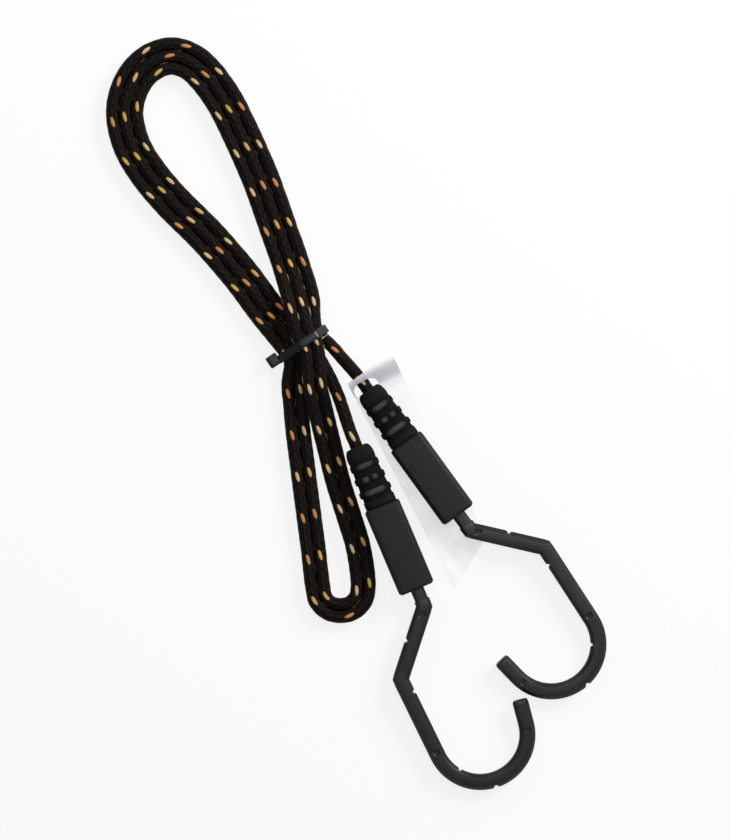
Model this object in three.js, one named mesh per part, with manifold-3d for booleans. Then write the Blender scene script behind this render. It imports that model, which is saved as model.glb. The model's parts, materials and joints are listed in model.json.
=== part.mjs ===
import * as THREE from 'three';
import Module from 'manifold-3d';
import { mergeVertices } from 'three/addons/utils/BufferGeometryUtils.js';

// A bungee cord, put away: the braided elastic cord is folded into a hank of three loops one way
// and two loops the other, a cable tie holds its waist, and at each end a grip carries a hook.
// Millimetres, +Z up. The part lies on z = 0, with the origin under the middle of the two grips.

const gap = 0.3;
const overrun = 2;

const cord = {
  diameter: 6.5,
  sheath_wall: 0.6,
  strand_space: 0.65,
  bight_space: 1.6,
  longest_step: 16,
};
const cord_sides = 6;
const free_cord_sides = 8;
const turn_per_step = THREE.MathUtils.degToRad(10);

const hook = {
  band_width: 8.6,
  band_thickness: 7.3,
  band_chamfer: 1.9,
  stub: 10.5,
  rise: 41.5,
  run: 46,
  crown_radius: 25.5,
  tip: 13,
  bend_radius: 6,
  tip_skin: 5,
  neck_depth: 6,
  rod_diameter: 4,
  rod_head_diameter: 8,
  rod_head_length: 4,
  notch_length: 2.6,
  notch_depth: 1,
  support_hole_diameter: 1.6,
  support_hole_depth: 0.9,
};
const rise_angle = THREE.MathUtils.degToRad(41);
const run_angle = THREE.MathUtils.degToRad(-3);
const crown_turn = THREE.MathUtils.degToRad(169);
const bend_steps = 3;
const crown_steps = 14;
const hole_sides = 8;

const grip = {
  length: 49,
  width: 20,
  thickness: 14.5,
  edge_chamfer: 2.2,
  end_chamfer: 1.2,
  pocket_wall: 2.8,
  face_wall: 1.1,
};

const boot = {
  length: 34,
  nose_diameter: 11,
  base_diameter: 14,
  rib_width: 17.2,
  rib_thickness: 13.2,
  rib_length: 3.6,
  rib_pitch: 7.4,
  last_rib_back: 8.6,
  flange_length: 2,
  spigot_wall: 1.3,
  spigot_length: 3,
  mouth_back: 2,
};
const rib_count = 3;
const rib_squareness_share = 0.2;
const boot_sides = 12;

const ferrule = { length: 14, wall: 1.1, lip: 1.5 };
const ferrule_sides = 12;

const tie = {
  strap_width: 4.6,
  strap_thickness: 1.2,
  head_length: 6.4,
  head_width: 6.6,
  head_height: 5.4,
  head_drop: 2.8,
  head_sink: 0.6,
};
const strap_steps = 32;

const tag = {
  reach: 112,
  width: 28.5,
  thickness: 0.35,
  corner: 9,
  rise_run: 12,
  top_margin: 2,
  hole_diameter: 14,
  offset: 6.2,
};
const tag_hole_sides = 20;

// Where the front of each block lies and which way its hook points: end b lies beside the hank.
const grip_a_place = { x: -10, y: 38.6 };
const grip_b_place = { x: -32.5, y: -1.4 };
const grip_a_heading = THREE.MathUtils.degToRad(-54);
const grip_b_heading = THREE.MathUtils.degToRad(-67);
const tag_heading = THREE.MathUtils.degToRad(-62.5);

// The hank's waist, and the way its strands run through it.
const waist = { x: -94.5, y: 130.5, slot_pitch: 7.9, straight: 3.5 };
const waist_heading = THREE.MathUtils.degToRad(-56);

// The middle lane of the loops, in the order the cord runs, seen from above.
const upper_loop = [
  [-95, 154.5], [-101, 175], [-108, 195], [-116.5, 219], [-126.5, 242], [-136.5, 262],
  [-146.5, 276], [-155, 283.5], [-165, 286.5], [-174.5, 284], [-183, 277], [-188.5, 267],
  [-190.5, 255.5], [-187, 239], [-178, 223.5], [-165, 208], [-146, 189], [-127, 167], [-114, 149.5],
];
const lower_loop = [
  [-99, 109], [-98, 98], [-97, 86], [-95, 70], [-92, 46.5], [-88.5, 20], [-86, -1],
  [-84.5, -7.5], [-80, -12], [-73.5, -13.5], [-67.5, -12], [-63, -7.5], [-61.5, -1],
  [-64, 20], [-69, 37],
  [-75, 56], [-80, 76], [-84, 92.5], [-87, 106],
];
const upper_loop_count = 3;
const lower_loop_count = 2;

// How high a strand of the upper layer still lies at the points next to the waist, loop by loop,
// as a share of its height in the waist.
const upper_settle_shares = [[0, 0], [0.62, 0], [1.08, 0.15]];
const lower_settle_shares = [[1, 0.25, 0], [1, 0.6, 0.1]];

// The free ends, from the waist towards the mouths of the boots: x, y and height.
const end_a_route = [[-77, 130.5, 5], [-72.5, 123.5, 6.5]];
const end_b_route = [[-82.5, 118.5, 3.4], [-75.5, 104, 6]];

const group = new THREE.Group();
const braid_black = new THREE.MeshStandardMaterial({ color: 0x17181a, roughness: 0.85, metalness: 0 });
const latex = new THREE.MeshStandardMaterial({ color: 0xc9b48a, roughness: 0.8, metalness: 0 });
const hook_black = new THREE.MeshStandardMaterial({ color: 0x1f2123, roughness: 0.5, metalness: 0 });
const grip_black = new THREE.MeshStandardMaterial({ color: 0x2b2f31, roughness: 0.6, metalness: 0 });
const boot_black = new THREE.MeshStandardMaterial({ color: 0x1b1c1e, roughness: 0.75, metalness: 0 });
const steel = new THREE.MeshStandardMaterial({ color: 0x9a9da0, roughness: 0.35, metalness: 1 });
const tie_black = new THREE.MeshStandardMaterial({ color: 0x0f1011, roughness: 0.35, metalness: 0 });
const film = new THREE.MeshStandardMaterial({ color: 0xf2f3f5, roughness: 0.4, metalness: 0 });

// A closed mesh through rings of equally many points; joined rings close on themselves, and
// others end in flat caps. The faces are turned to point out.
function skin(rings, joined = false) {
  const count = rings[0].length;
  const points = rings.flat();
  const index = [];
  const spans = joined ? rings.length : rings.length - 1;
  for (let ring = 0; ring < spans; ring += 1) {
    const here = ring * count;
    const there = ((ring + 1) % rings.length) * count;
    for (let side = 0; side < count; side += 1) {
      const next = (side + 1) % count;
      index.push(here + side, here + next, there + next, here + side, there + next, there + side);
    }
  }
  if (!joined) {
    const last = (rings.length - 1) * count;
    for (let side = 1; side < count - 1; side += 1) {
      index.push(0, side + 1, side, last, last + side, last + side + 1);
    }
  }
  let volume = 0;
  for (let k = 0; k < index.length; k += 3) {
    const [p, q, r] = [points[index[k]], points[index[k + 1]], points[index[k + 2]]];
    volume += p.dot(q.clone().cross(r));
  }
  if (volume < 0) {
    index.reverse();
  }
  const geometry = new THREE.BufferGeometry();
  geometry.setAttribute('position', new THREE.Float32BufferAttribute(points.flatMap((p) => p.toArray()), 3));
  geometry.setIndex(index);
  return geometry;
}

const wasm = await Module();
wasm.setup();

function solid(geometry) {
  const plain = geometry.clone();
  plain.deleteAttribute('normal');
  plain.deleteAttribute('uv');
  const merged = mergeVertices(plain);
  const mesh = new wasm.Mesh({
    numProp: 3,
    vertProperties: new Float32Array(merged.attributes.position.array),
    triVerts: new Uint32Array(merged.index.array),
  });
  return new wasm.Manifold(mesh);
}

function surface(body) {
  const mesh = body.getMesh();
  const geometry = new THREE.BufferGeometry();
  geometry.setAttribute('position', new THREE.BufferAttribute(mesh.vertProperties, 3));
  geometry.setIndex(new THREE.BufferAttribute(mesh.triVerts, 1));
  return geometry;
}

function add(parent, name, geometry, material) {
  geometry.computeVertexNormals();
  const mesh = new THREE.Mesh(geometry, material);
  mesh.name = name;
  parent.add(mesh);
}

// A regular outline with a corner pointing straight down, so that a tube rests on the floor.
function roundOutline(radius, sides) {
  return Array.from({ length: sides }, (_, k) => {
    const angle = -Math.PI / 2 + (2 * Math.PI * k) / sides;
    return [radius * Math.cos(angle), radius * Math.sin(angle)];
  });
}

// A rectangle with its four corners cut off.
function chamferedOutline(width, height, chamfer) {
  const [x, y] = [width / 2, height / 2];
  return [
    [x - chamfer, -y], [x, -y + chamfer], [x, y - chamfer], [x - chamfer, y],
    [-x + chamfer, y], [-x, y - chamfer], [-x, -y + chamfer], [-x + chamfer, -y],
  ];
}

// One ring of a tube: the outline stands across the path, its second axis as near upright as it can.
function ringAcross(centre, along, outline) {
  const side = new THREE.Vector3(along.y, -along.x, 0).normalize();
  const up = new THREE.Vector3().crossVectors(side, along).normalize();
  return outline.map(([u, v]) => centre.clone().addScaledVector(side, u).addScaledVector(up, v));
}

function ringsAlong(stations, outline) {
  return stations.map(({ centre, along }) => ringAcross(centre, along, outline));
}

// A body turned about the local X axis: [x, radius] pairs.
function ringsAboutX(profile, sides) {
  const along = new THREE.Vector3(1, 0, 0);
  return profile.map(([x, radius]) => (
    ringAcross(new THREE.Vector3(x, 0, 0), along, roundOutline(radius, sides))
  ));
}

// Derived sizes of the cord and of what it runs in.
const cord_radius = cord.diameter / 2;
const core_radius = cord_radius - cord.sheath_wall - gap / Math.cos(Math.PI / cord_sides);
const strand_pitch = cord.diameter + cord.strand_space;
const bight_pitch = cord.diameter + cord.bight_space;
const boot_bore_radius = cord_radius + gap;
const ferrule_radius = cord_radius + gap + ferrule.wall;
const mouth_x = -grip.length - boot.length;
const hinge_x = mouth_x - boot.mouth_back;

// Inside a grip, from its rear face: the boot's spigot and flange, the ferrule, a wall, the rod's head.
const flange_start = -grip.length + boot.spigot_length;
const flange_end = flange_start + boot.flange_length;
const ferrule_start = flange_end + gap;
const ferrule_end = ferrule_start + ferrule.length;
const rod_head_start = ferrule_end + 2 * gap + grip.pocket_wall + gap;
const rod_head_end = rod_head_start + hook.rod_head_length;
const spigot_radius = boot_bore_radius + boot.spigot_wall;
const flange_radius = grip.thickness / 2 - grip.face_wall - gap;

// How the grips lie: the film tag is under the block, and the hook's crown touches the floor.
const crown_start = new THREE.Vector2(hook.stub, 0)
  .add(new THREE.Vector2(hook.rise, 0).rotateAround(new THREE.Vector2(), rise_angle))
  .add(new THREE.Vector2(hook.run, 0).rotateAround(new THREE.Vector2(), run_angle));
const crown_centre = crown_start.clone()
  .add(new THREE.Vector2(0, -hook.crown_radius).rotateAround(new THREE.Vector2(), run_angle));
const block_height = tag.thickness + gap + grip.thickness / 2;
const crown_reach = crown_centre.x + hook.crown_radius + hook.band_width / 2 - hook.band_chamfer;
const crown_half = hook.band_thickness / 2;
const tilt = Math.asin(block_height / Math.hypot(crown_reach, crown_half))
  - Math.atan2(crown_half, crown_reach);

// Where a point of a grip lies in the whole part.
function gripMatrix(place, heading, turned_over) {
  const turn = new THREE.Matrix4().makeRotationZ(heading)
    .multiply(new THREE.Matrix4().makeRotationY(tilt))
    .multiply(new THREE.Matrix4().makeRotationX(turned_over ? Math.PI : 0));
  return turn.setPosition(place.x, place.y, block_height);
}

// The hook's centre line in the grip's own plane, as stations with a direction.
function hookStations(start_x, end_short) {
  const stations = [];
  const point = new THREE.Vector2(start_x, 0);
  let heading = 0;
  const put = () => stations.push({
    centre: new THREE.Vector3(point.x, point.y, 0),
    along: new THREE.Vector3(Math.cos(heading), Math.sin(heading), 0),
  });
  const straight = (length) => {
    point.add(new THREE.Vector2(length, 0).rotateAround(new THREE.Vector2(), heading));
    put();
  };
  const arc = (radius, turn, steps) => {
    const step = turn / steps;
    const chord = 2 * radius * Math.sin(Math.abs(step) / 2);
    for (let k = 0; k < steps; k += 1) {
      point.add(new THREE.Vector2(chord, 0).rotateAround(new THREE.Vector2(), heading + step / 2));
      heading += step;
      put();
    }
  };
  const first_trim = hook.bend_radius * Math.tan(rise_angle / 2);
  const second_trim = hook.bend_radius * Math.tan((rise_angle - run_angle) / 2);
  put();
  straight(hook.stub - start_x - first_trim);
  arc(hook.bend_radius, rise_angle, bend_steps);
  straight(hook.rise - first_trim - second_trim);
  arc(hook.bend_radius, run_angle - rise_angle, bend_steps);
  straight(hook.run - second_trim);
  arc(hook.crown_radius, -crown_turn, crown_steps);
  straight(hook.tip - end_short);
  return stations;
}

// The tip of hook b lies beside the crown of hook a, and grip a is laid far enough off to clear it.
const matrix_b = gripMatrix(grip_b_place, grip_b_heading, true);
const tip_b = hookStations(0, 0).at(-1).centre.clone().applyMatrix4(matrix_b);
const crown_a = new THREE.Vector3(crown_centre.x, crown_centre.y, 0)
  .applyMatrix4(gripMatrix(grip_a_place, grip_a_heading, false));
const between = new THREE.Vector2(crown_a.x - tip_b.x, crown_a.y - tip_b.y);
const crowding = Math.max(0, hook.crown_radius + hook.band_width + gap - between.length());
const grip_a_clear = between.clone().setLength(crowding).add(grip_a_place);
const matrix_a = gripMatrix(grip_a_clear, grip_a_heading, false);

// A point on the hook's centre line and the direction across it, at a share of one of its stretches.
function hookPoint(stretch, share) {
  const rise_end = new THREE.Vector2(hook.stub, 0)
    .add(new THREE.Vector2(hook.rise, 0).rotateAround(new THREE.Vector2(), rise_angle));
  if (stretch === 'rise') {
    return {
      centre: new THREE.Vector2(hook.stub, 0).lerp(rise_end, share),
      heading: rise_angle,
    };
  }
  if (stretch === 'run') {
    return { centre: rise_end.clone().lerp(crown_start, share), heading: run_angle };
  }
  const heading = run_angle - share * crown_turn;
  return {
    centre: crown_centre.clone().add(
      new THREE.Vector2(0, hook.crown_radius).rotateAround(new THREE.Vector2(), heading),
    ),
    heading,
  };
}

// Marks where the rod was held while the cover was moulded: cuts in the band's two edges.
const notches = [
  { stretch: 'rise', share: 0.5, edge: 1 },
  { stretch: 'run', share: 0.2, edge: -1 },
  { stretch: 'crown', share: 0.68, edge: -1 },
  { stretch: 'crown', share: 0.76, edge: 1 },
];
const support_holes = [
  { stretch: 'rise', share: 0.04 },
  { stretch: 'run', share: 0.96 },
  { stretch: 'crown', share: 0.97 },
];

function notchCutter({ stretch, share, edge }) {
  const { centre, heading } = hookPoint(stretch, share);
  const depth = hook.notch_depth + overrun;
  const geometry = new THREE.BoxGeometry(hook.notch_length, depth, hook.band_thickness + overrun);
  geometry.translate(0, edge * (hook.band_width / 2 - hook.notch_depth + depth / 2), 0);
  geometry.rotateZ(heading);
  geometry.translate(centre.x, centre.y, 0);
  return solid(geometry);
}

function supportHoleCutter({ stretch, share }, face) {
  const { centre } = hookPoint(stretch, share);
  const depth = hook.support_hole_depth + overrun;
  const radius = hook.support_hole_diameter / 2;
  const geometry = new THREE.CylinderGeometry(radius, radius, depth, hole_sides);
  geometry.rotateX(Math.PI / 2);
  geometry.translate(centre.x, centre.y, face * (crown_half - hook.support_hole_depth + depth / 2));
  return solid(geometry);
}

// The moulded cover of the hook: open at the grip, where the rod goes in, and closed at the tip.
function hookCover() {
  const outer = chamferedOutline(hook.band_width, hook.band_thickness, hook.band_chamfer);
  const inner = roundOutline(hook.rod_diameter / 2 + gap, outer.length);
  const bore = ringsAlong(hookStations(-hook.neck_depth, hook.tip_skin), inner);
  const shell = ringsAlong(hookStations(-hook.neck_depth, 0), outer);
  const last = shell.length - 1;
  const middle = shell[last].reduce((sum, p) => sum.add(p), new THREE.Vector3())
    .divideScalar(shell[last].length);
  const beyond = new THREE.Vector3().subVectors(shell[last][0], shell[last - 1][0]).normalize();
  const end_ring = shell[last].map((p) => p.clone().lerp(middle, hook.band_chamfer / hook.band_width));
  shell[last].forEach((p) => p.addScaledVector(beyond, -hook.band_chamfer / 2));
  let body = solid(skin([...bore.reverse(), ...shell, end_ring]));
  for (const notch of notches) {
    body = body.subtract(notchCutter(notch));
  }
  for (const hole of support_holes) {
    body = body.subtract(supportHoleCutter(hole, 1)).subtract(supportHoleCutter(hole, -1));
  }
  return surface(body);
}

// The steel rod inside the hook, upset at its end like a rivet so that the grip holds it.
function hookRod() {
  const stations = hookStations(rod_head_end, hook.tip_skin + gap);
  const rod = ringsAlong(stations, roundOutline(hook.rod_diameter / 2, hole_sides));
  const head = ringsAboutX([
    [rod_head_start, hook.rod_head_diameter / 2],
    [rod_head_end, hook.rod_head_diameter / 2],
  ], hole_sides);
  return skin([...head, ...rod]);
}

// The space inside the grip: the hook's pocket in front, the ferrule's and the boot's behind.
function gripPockets() {
  const behind = ringsAboutX([
    [-grip.length - overrun, spigot_radius + gap],
    [flange_start - gap, spigot_radius + gap],
    [flange_start - gap, flange_radius + gap],
    [flange_end + gap, flange_radius + gap],
    [flange_end + gap, ferrule_radius + gap],
    [ferrule_end + 2 * gap, ferrule_radius + gap],
  ], ferrule_sides);
  const front = ringsAboutX([
    [rod_head_start - gap, hook.rod_head_diameter / 2 + gap],
    [rod_head_end + gap, hook.rod_head_diameter / 2 + gap],
    [rod_head_end + gap, hook.rod_diameter / 2 + gap],
    [-hook.neck_depth + gap, hook.rod_diameter / 2 + gap],
  ], hole_sides);
  const band = chamferedOutline(
    hook.band_width + 2 * gap,
    hook.band_thickness + 2 * gap,
    hook.band_chamfer,
  );
  const along = new THREE.Vector3(1, 0, 0);
  const neck = [-hook.neck_depth - gap, overrun].map((x) => (
    ringAcross(new THREE.Vector3(x, 0, 0), along, band)
  ));
  return [solid(skin(behind)), solid(skin(front)), solid(skin(neck))];
}

// One of the two moulded halves of the block; face is 1 for the upper half, -1 for the lower.
function gripShell(face) {
  const [half, low, high] = [grip.width / 2, gap / 2, grip.thickness / 2];
  const outline = (inset) => [
    [half - inset, low],
    [half - inset, high - grip.edge_chamfer],
    [half - grip.edge_chamfer, high - inset],
    [-half + grip.edge_chamfer, high - inset],
    [-half + inset, high - grip.edge_chamfer],
    [-half + inset, low],
  ].map(([y, z]) => [y, face * z]);
  const rings = [
    [-grip.length, grip.end_chamfer],
    [-grip.length + grip.end_chamfer, 0],
    [-grip.end_chamfer, 0],
    [0, grip.end_chamfer],
  ].map(([x, inset]) => outline(inset).map(([y, z]) => new THREE.Vector3(x, y, z)));
  let body = solid(skin(rings));
  for (const pocket of gripPockets()) {
    body = body.subtract(pocket);
  }
  return surface(body);
}

// The ribbed strain relief, turned round its bore; the ribs are flat bars, wider than they are thick.
function flexBoot() {
  const rear = -grip.length;
  const ring = (x, width, height, squareness = 0) => (
    Array.from({ length: boot_sides }, (_, k) => {
      const angle = -Math.PI / 2 + (2 * Math.PI * k) / boot_sides;
      const swell = 1 + squareness * Math.abs(Math.sin(2 * angle));
      return new THREE.Vector3(
        x,
        -swell * (width / 2) * Math.cos(angle),
        swell * (height / 2) * Math.sin(angle),
      );
    })
  );
  const taper = (x) => THREE.MathUtils.lerp(
    boot.nose_diameter,
    boot.base_diameter,
    (x - mouth_x) / boot.length,
  );
  const outside = [ring(mouth_x, boot.nose_diameter, boot.nose_diameter)];
  for (let k = rib_count - 1; k >= 0; k -= 1) {
    const centre = rear - boot.last_rib_back - k * boot.rib_pitch;
    const [start, end] = [centre - boot.rib_length / 2, centre + boot.rib_length / 2];
    outside.push(ring(start, taper(start), taper(start)));
    outside.push(ring(start, boot.rib_width, boot.rib_thickness, rib_squareness_share));
    outside.push(ring(end, boot.rib_width, boot.rib_thickness, rib_squareness_share));
    outside.push(ring(end, taper(end), taper(end)));
  }
  outside.push(ring(rear - gap, boot.base_diameter, boot.base_diameter));
  const along = new THREE.Vector3(1, 0, 0);
  const round = (x, radius) => (
    ringAcross(new THREE.Vector3(x, 0, 0), along, roundOutline(radius, boot_sides))
  );
  const plug = [
    round(rear - gap, spigot_radius),
    round(flange_start, spigot_radius),
    round(flange_start, flange_radius),
    round(flange_end, flange_radius),
  ];
  const bore = [flange_end, mouth_x].map((x) => round(x, boot_bore_radius));
  return skin([...outside, ...plug, ...bore], true);
}

// The crimped sleeve that stops the cord's end from being drawn out of the grip.
function crimpFerrule() {
  const outer = ringsAboutX([[ferrule_start, ferrule_radius], [ferrule_end, ferrule_radius]], ferrule_sides);
  const inner = ringsAboutX([
    [ferrule_end, boot_bore_radius],
    [ferrule_start, boot_bore_radius],
  ], ferrule_sides);
  return skin([...outer, ...inner], true);
}

// The last of the cord, inside the boot and the ferrule. Its free end is a dome about the bend, so
// that it clears the rest of the cord when the grip is lifted.
const tail_end = ferrule_end - ferrule.lip;
const sheath_inner_radius = cord_radius - cord.sheath_wall;
const domeEnd = (radius) => [hinge_x - Math.sqrt(cord_radius ** 2 - radius ** 2), radius];

function cordTailSheath() {
  const outer = [
    domeEnd((sheath_inner_radius + cord_radius) / 2),
    [hinge_x, cord_radius],
    [tail_end, cord_radius],
  ];
  const inner = [[tail_end, sheath_inner_radius], domeEnd(sheath_inner_radius)];
  return skin(ringsAboutX([...outer, ...inner], free_cord_sides), true);
}

function cordTailCore() {
  const profile = [domeEnd(core_radius / 2), domeEnd(core_radius), [tail_end, core_radius]];
  return skin(ringsAboutX(profile, free_cord_sides));
}

// The whole cord's centre line: out of boot a, through the hank and back into boot b.
const lane_rise = Math.sqrt(strand_pitch ** 2 - (waist.slot_pitch / 2) ** 2);
const floor_height = cord_radius;
const waist_height = tie.strap_thickness + gap + cord_radius;
const waist_along = new THREE.Vector2(Math.cos(waist_heading), Math.sin(waist_heading));
const waist_across = new THREE.Vector2(-waist_along.y, waist_along.x);

// A strand's place in the waist: its slot across the strap, counted from the middle, and its layer.
function waistPoint({ slot, layer }, along) {
  const across = slot * waist.slot_pitch;
  return new THREE.Vector3(
    waist.x + across * waist_across.x + along * waist_along.x,
    waist.y + across * waist_across.y + along * waist_along.y,
    waist_height + layer * lane_rise,
  );
}

function waistPass(strand, direction) {
  const reach = direction * waist.straight;
  return [waistPoint(strand, -reach), waistPoint(strand, reach)];
}

// One loop of a bundle: the middle lane moved sideways, further apart round the bight.
function lane(middle, offset, liftAt) {
  const last = middle.length - 1;
  const top_height = waist_height + lane_rise;
  return middle.map(([x, y], k) => {
    const [x0, y0] = middle[Math.max(k - 1, 0)];
    const [x1, y1] = middle[Math.min(k + 1, last)];
    const outward = new THREE.Vector2(y1 - y0, x0 - x1).normalize();
    const phase = (Math.PI * k) / last;
    const spread = Math.sin(phase) ** 4 + Math.cos(phase) ** 16;
    const pitch = THREE.MathUtils.lerp(strand_pitch, bight_pitch, spread);
    return new THREE.Vector3(
      x + offset * pitch * outward.x,
      y + offset * pitch * outward.y,
      THREE.MathUtils.lerp(floor_height, top_height, liftAt(k) ?? 0),
    );
  });
}

function mouthPoint(matrix, distance) {
  return new THREE.Vector3(hinge_x - distance, 0, 0).applyMatrix4(matrix);
}

const strands = {
  end_a: { slot: 1.6, layer: 0 },
  left: [{ slot: -1.5, layer: 0 }, { slot: -0.5, layer: 0 }],
  right: [{ slot: 1, layer: 1 }, { slot: 0, layer: 1 }],
  end_b: { slot: 0.5, layer: 0 },
};

function cordRoute() {
  const route = [
    mouthPoint(matrix_a, 0),
    mouthPoint(matrix_a, cord.diameter),
    ...end_a_route.map(([x, y, z]) => new THREE.Vector3(x, y, z)).reverse(),
    ...waistPass(strands.end_a, -1),
  ];
  for (let loop = 0; loop < upper_loop_count; loop += 1) {
    const upper_offset = (upper_loop_count - 1) / 2 - loop;
    route.push(...lane(upper_loop, upper_offset, (k) => upper_settle_shares[loop][k]));
    if (loop < lower_loop_count) {
      route.push(...waistPass(strands.left[loop], 1));
      const lower_offset = (lower_loop_count - 1) / 2 - loop;
      const from_end = (k) => lower_settle_shares[loop][lower_loop.length - 1 - k];
      route.push(...lane(lower_loop, lower_offset, from_end));
      route.push(...waistPass(strands.right[loop], -1));
    }
  }
  route.push(
    ...waistPass(strands.end_b, 1),
    ...end_b_route.map(([x, y, z]) => new THREE.Vector3(x, y, z)),
    mouthPoint(matrix_b, cord.diameter),
    mouthPoint(matrix_b, 0),
  );
  return route;
}

const route = new THREE.CatmullRomCurve3(cordRoute(), false, 'centripetal');
const fine_count = 8000;
const neighbour_diameters = 3;
const fine = Array.from({ length: fine_count + 1 }, (_, k) => route.getPoint(k / fine_count));
const travelled = [0];
for (let k = 1; k <= fine_count; k += 1) {
  travelled.push(travelled[k - 1] + fine[k].distanceTo(fine[k - 1]));
}

function directionAt(k) {
  const [before, after] = [Math.max(k - 1, 0), Math.min(k + 1, fine_count)];
  return new THREE.Vector3().subVectors(fine[after], fine[before]).normalize();
}

// Stations between two lengths along the cord: one whenever it has turned or run far enough.
function cordStations(from, to) {
  const first = travelled.findIndex((s) => s >= from);
  const last = travelled.findLastIndex((s) => s <= to);
  const stations = [];
  let at = first;
  for (let k = first; k <= last; k += 1) {
    const turned = directionAt(k).angleTo(directionAt(at));
    const run = travelled[k] - travelled[at];
    if (k === first || k === last || turned > turn_per_step || run > cord.longest_step) {
      stations.push({ centre: fine[k].clone(), along: directionAt(k) });
      at = k;
    }
  }
  return stations;
}

// The least free space between two stretches of the cord, measured on points of its centre line.
function leastGap() {
  const skip = neighbour_diameters * cord.diameter;
  let least = Infinity;
  for (let a = 0; a <= fine_count; a += 2) {
    for (let b = a + 2; b <= fine_count; b += 2) {
      if (travelled[b] - travelled[a] > skip) {
        least = Math.min(least, fine[a].distanceTo(fine[b]) - cord.diameter);
      }
    }
  }
  return least;
}

const cord_length = travelled[fine_count];
const least_gap = leastGap();
console.log(`cord drawn ${cord_length.toFixed(1)} mm from grip to grip`);
console.log(`least gap of the cord to itself ${least_gap.toFixed(2)} mm`);

function nearestLength(point) {
  let best = 0;
  fine.forEach((p, k) => {
    if (p.distanceTo(point) < fine[best].distanceTo(point)) {
      best = k;
    }
  });
  return travelled[best];
}
const hank_start = nearestLength(waistPoint(strands.end_a, waist.straight));
const hank_end = nearestLength(waistPoint(strands.end_b, waist.straight));

function addCord(name, from, to, sides) {
  const stations = cordStations(from, to);
  const outer = ringsAlong(stations, roundOutline(cord_radius, sides));
  const inner = ringsAlong(stations, roundOutline(sheath_inner_radius, sides));
  add(group, `${name}_sheath`, skin([...outer, ...inner.reverse()], true), braid_black);
  add(group, `${name}_core`, skin(ringsAlong(stations, roundOutline(core_radius, sides))), latex);
}

addCord('cord_hank', hank_start + gap / 2, hank_end - gap / 2, cord_sides);
addCord('cord_end_a', cord_radius + gap, hank_start - gap / 2, free_cord_sides);
addCord('cord_end_b', hank_end + gap / 2, cord_length - cord_radius - gap, free_cord_sides);

// The cable tie: its strap hugs the six strands, and the head sits at the hank's outer side.
function cableTie() {
  const all_strands = [strands.end_a, ...strands.left, ...strands.right, strands.end_b];
  const held = all_strands.map(({ slot, layer }) => (
    new THREE.Vector2(slot * waist.slot_pitch, waist_height + layer * lane_rise)
  ));
  const place = (across, height, along) => new THREE.Vector3(
    waist.x + across * waist_across.x + along * waist_along.x,
    waist.y + across * waist_across.y + along * waist_along.y,
    height,
  );
  const rings = Array.from({ length: strap_steps }, (_, k) => {
    const angle = (2 * Math.PI * k) / strap_steps;
    const normal = new THREE.Vector2(Math.cos(angle), Math.sin(angle));
    const held_by = held.reduce((best, c) => (c.dot(normal) > best.dot(normal) ? c : best));
    const corner = (radius, along) => {
      const p = held_by.clone().addScaledVector(normal, radius);
      return place(p.x, p.y, along);
    };
    const [inner, outer] = [cord_radius + gap, cord_radius + gap + tie.strap_thickness];
    const half = tie.strap_width / 2;
    return [corner(inner, -half), corner(outer, -half), corner(outer, half), corner(inner, half)];
  });
  const outer_strand = strands.left[0].slot * waist.slot_pitch;
  const outermost = outer_strand - cord_radius - gap - tie.strap_thickness;
  const head = new THREE.BoxGeometry(tie.head_length, tie.head_width, tie.head_height);
  head.rotateZ(Math.atan2(waist_across.y, waist_across.x));
  const centre = place(
    outermost + tie.head_sink - tie.head_length / 2,
    waist_height,
    -tie.head_drop / 2,
  );
  head.translate(centre.x, centre.y, centre.z);
  return surface(solid(skin(rings, true)).add(solid(head)));
}
add(group, 'cable_tie', cableTie(), tie_black);

// The blank film tag: flat on the floor under the grips, raised at its upper end, where a hole
// passes over the nose of boot a. Its own X runs along it from the hole.
function hangTag(hinge_height) {
  const half_thick = tag.thickness / 2;
  const rise_start = tag.rise_run / 2;
  const rise_height = 2 * (hinge_height - half_thick);
  const profile = [
    [tag.reach, half_thick, tag.width / 2 - tag.corner],
    [tag.reach - tag.corner, half_thick, tag.width / 2],
    [rise_start, half_thick, tag.width / 2],
    [-rise_start, half_thick + rise_height, tag.width / 2],
    [
      -rise_start - tag.top_margin,
      half_thick + rise_height + tag.top_margin,
      tag.width / 2 - tag.top_margin,
    ],
  ];
  const rings = profile.map(([x, z, half], k) => {
    const [x0, z0] = profile[Math.max(k - 1, 0)];
    const [x1, z1] = profile[Math.min(k + 1, profile.length - 1)];
    const across = new THREE.Vector2(z0 - z1, x1 - x0).setLength(half_thick);
    return [[-half, -1], [half, -1], [half, 1], [-half, 1]].map(([y, side]) => (
      new THREE.Vector3(x + side * across.x, y + tag.offset, z + side * across.y)
    ));
  });
  const radius = tag.hole_diameter / 2;
  const hole = new THREE.CylinderGeometry(radius, radius, tag.hole_diameter, tag_hole_sides);
  hole.rotateX(Math.PI / 2);
  hole.rotateY(Math.atan2(rise_height, tag.rise_run));
  hole.translate(0, 0, hinge_height);
  return surface(solid(skin(rings)).subtract(solid(hole)));
}
const hinge_a = mouthPoint(matrix_a, 0);
const hinge_b = mouthPoint(matrix_b, 0);
const tag_group = new THREE.Group();
tag_group.position.set(hinge_a.x, hinge_a.y, 0);
tag_group.rotation.z = tag_heading;
add(tag_group, 'hang_tag', hangTag(hinge_a.z), film);
group.add(tag_group);

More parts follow.
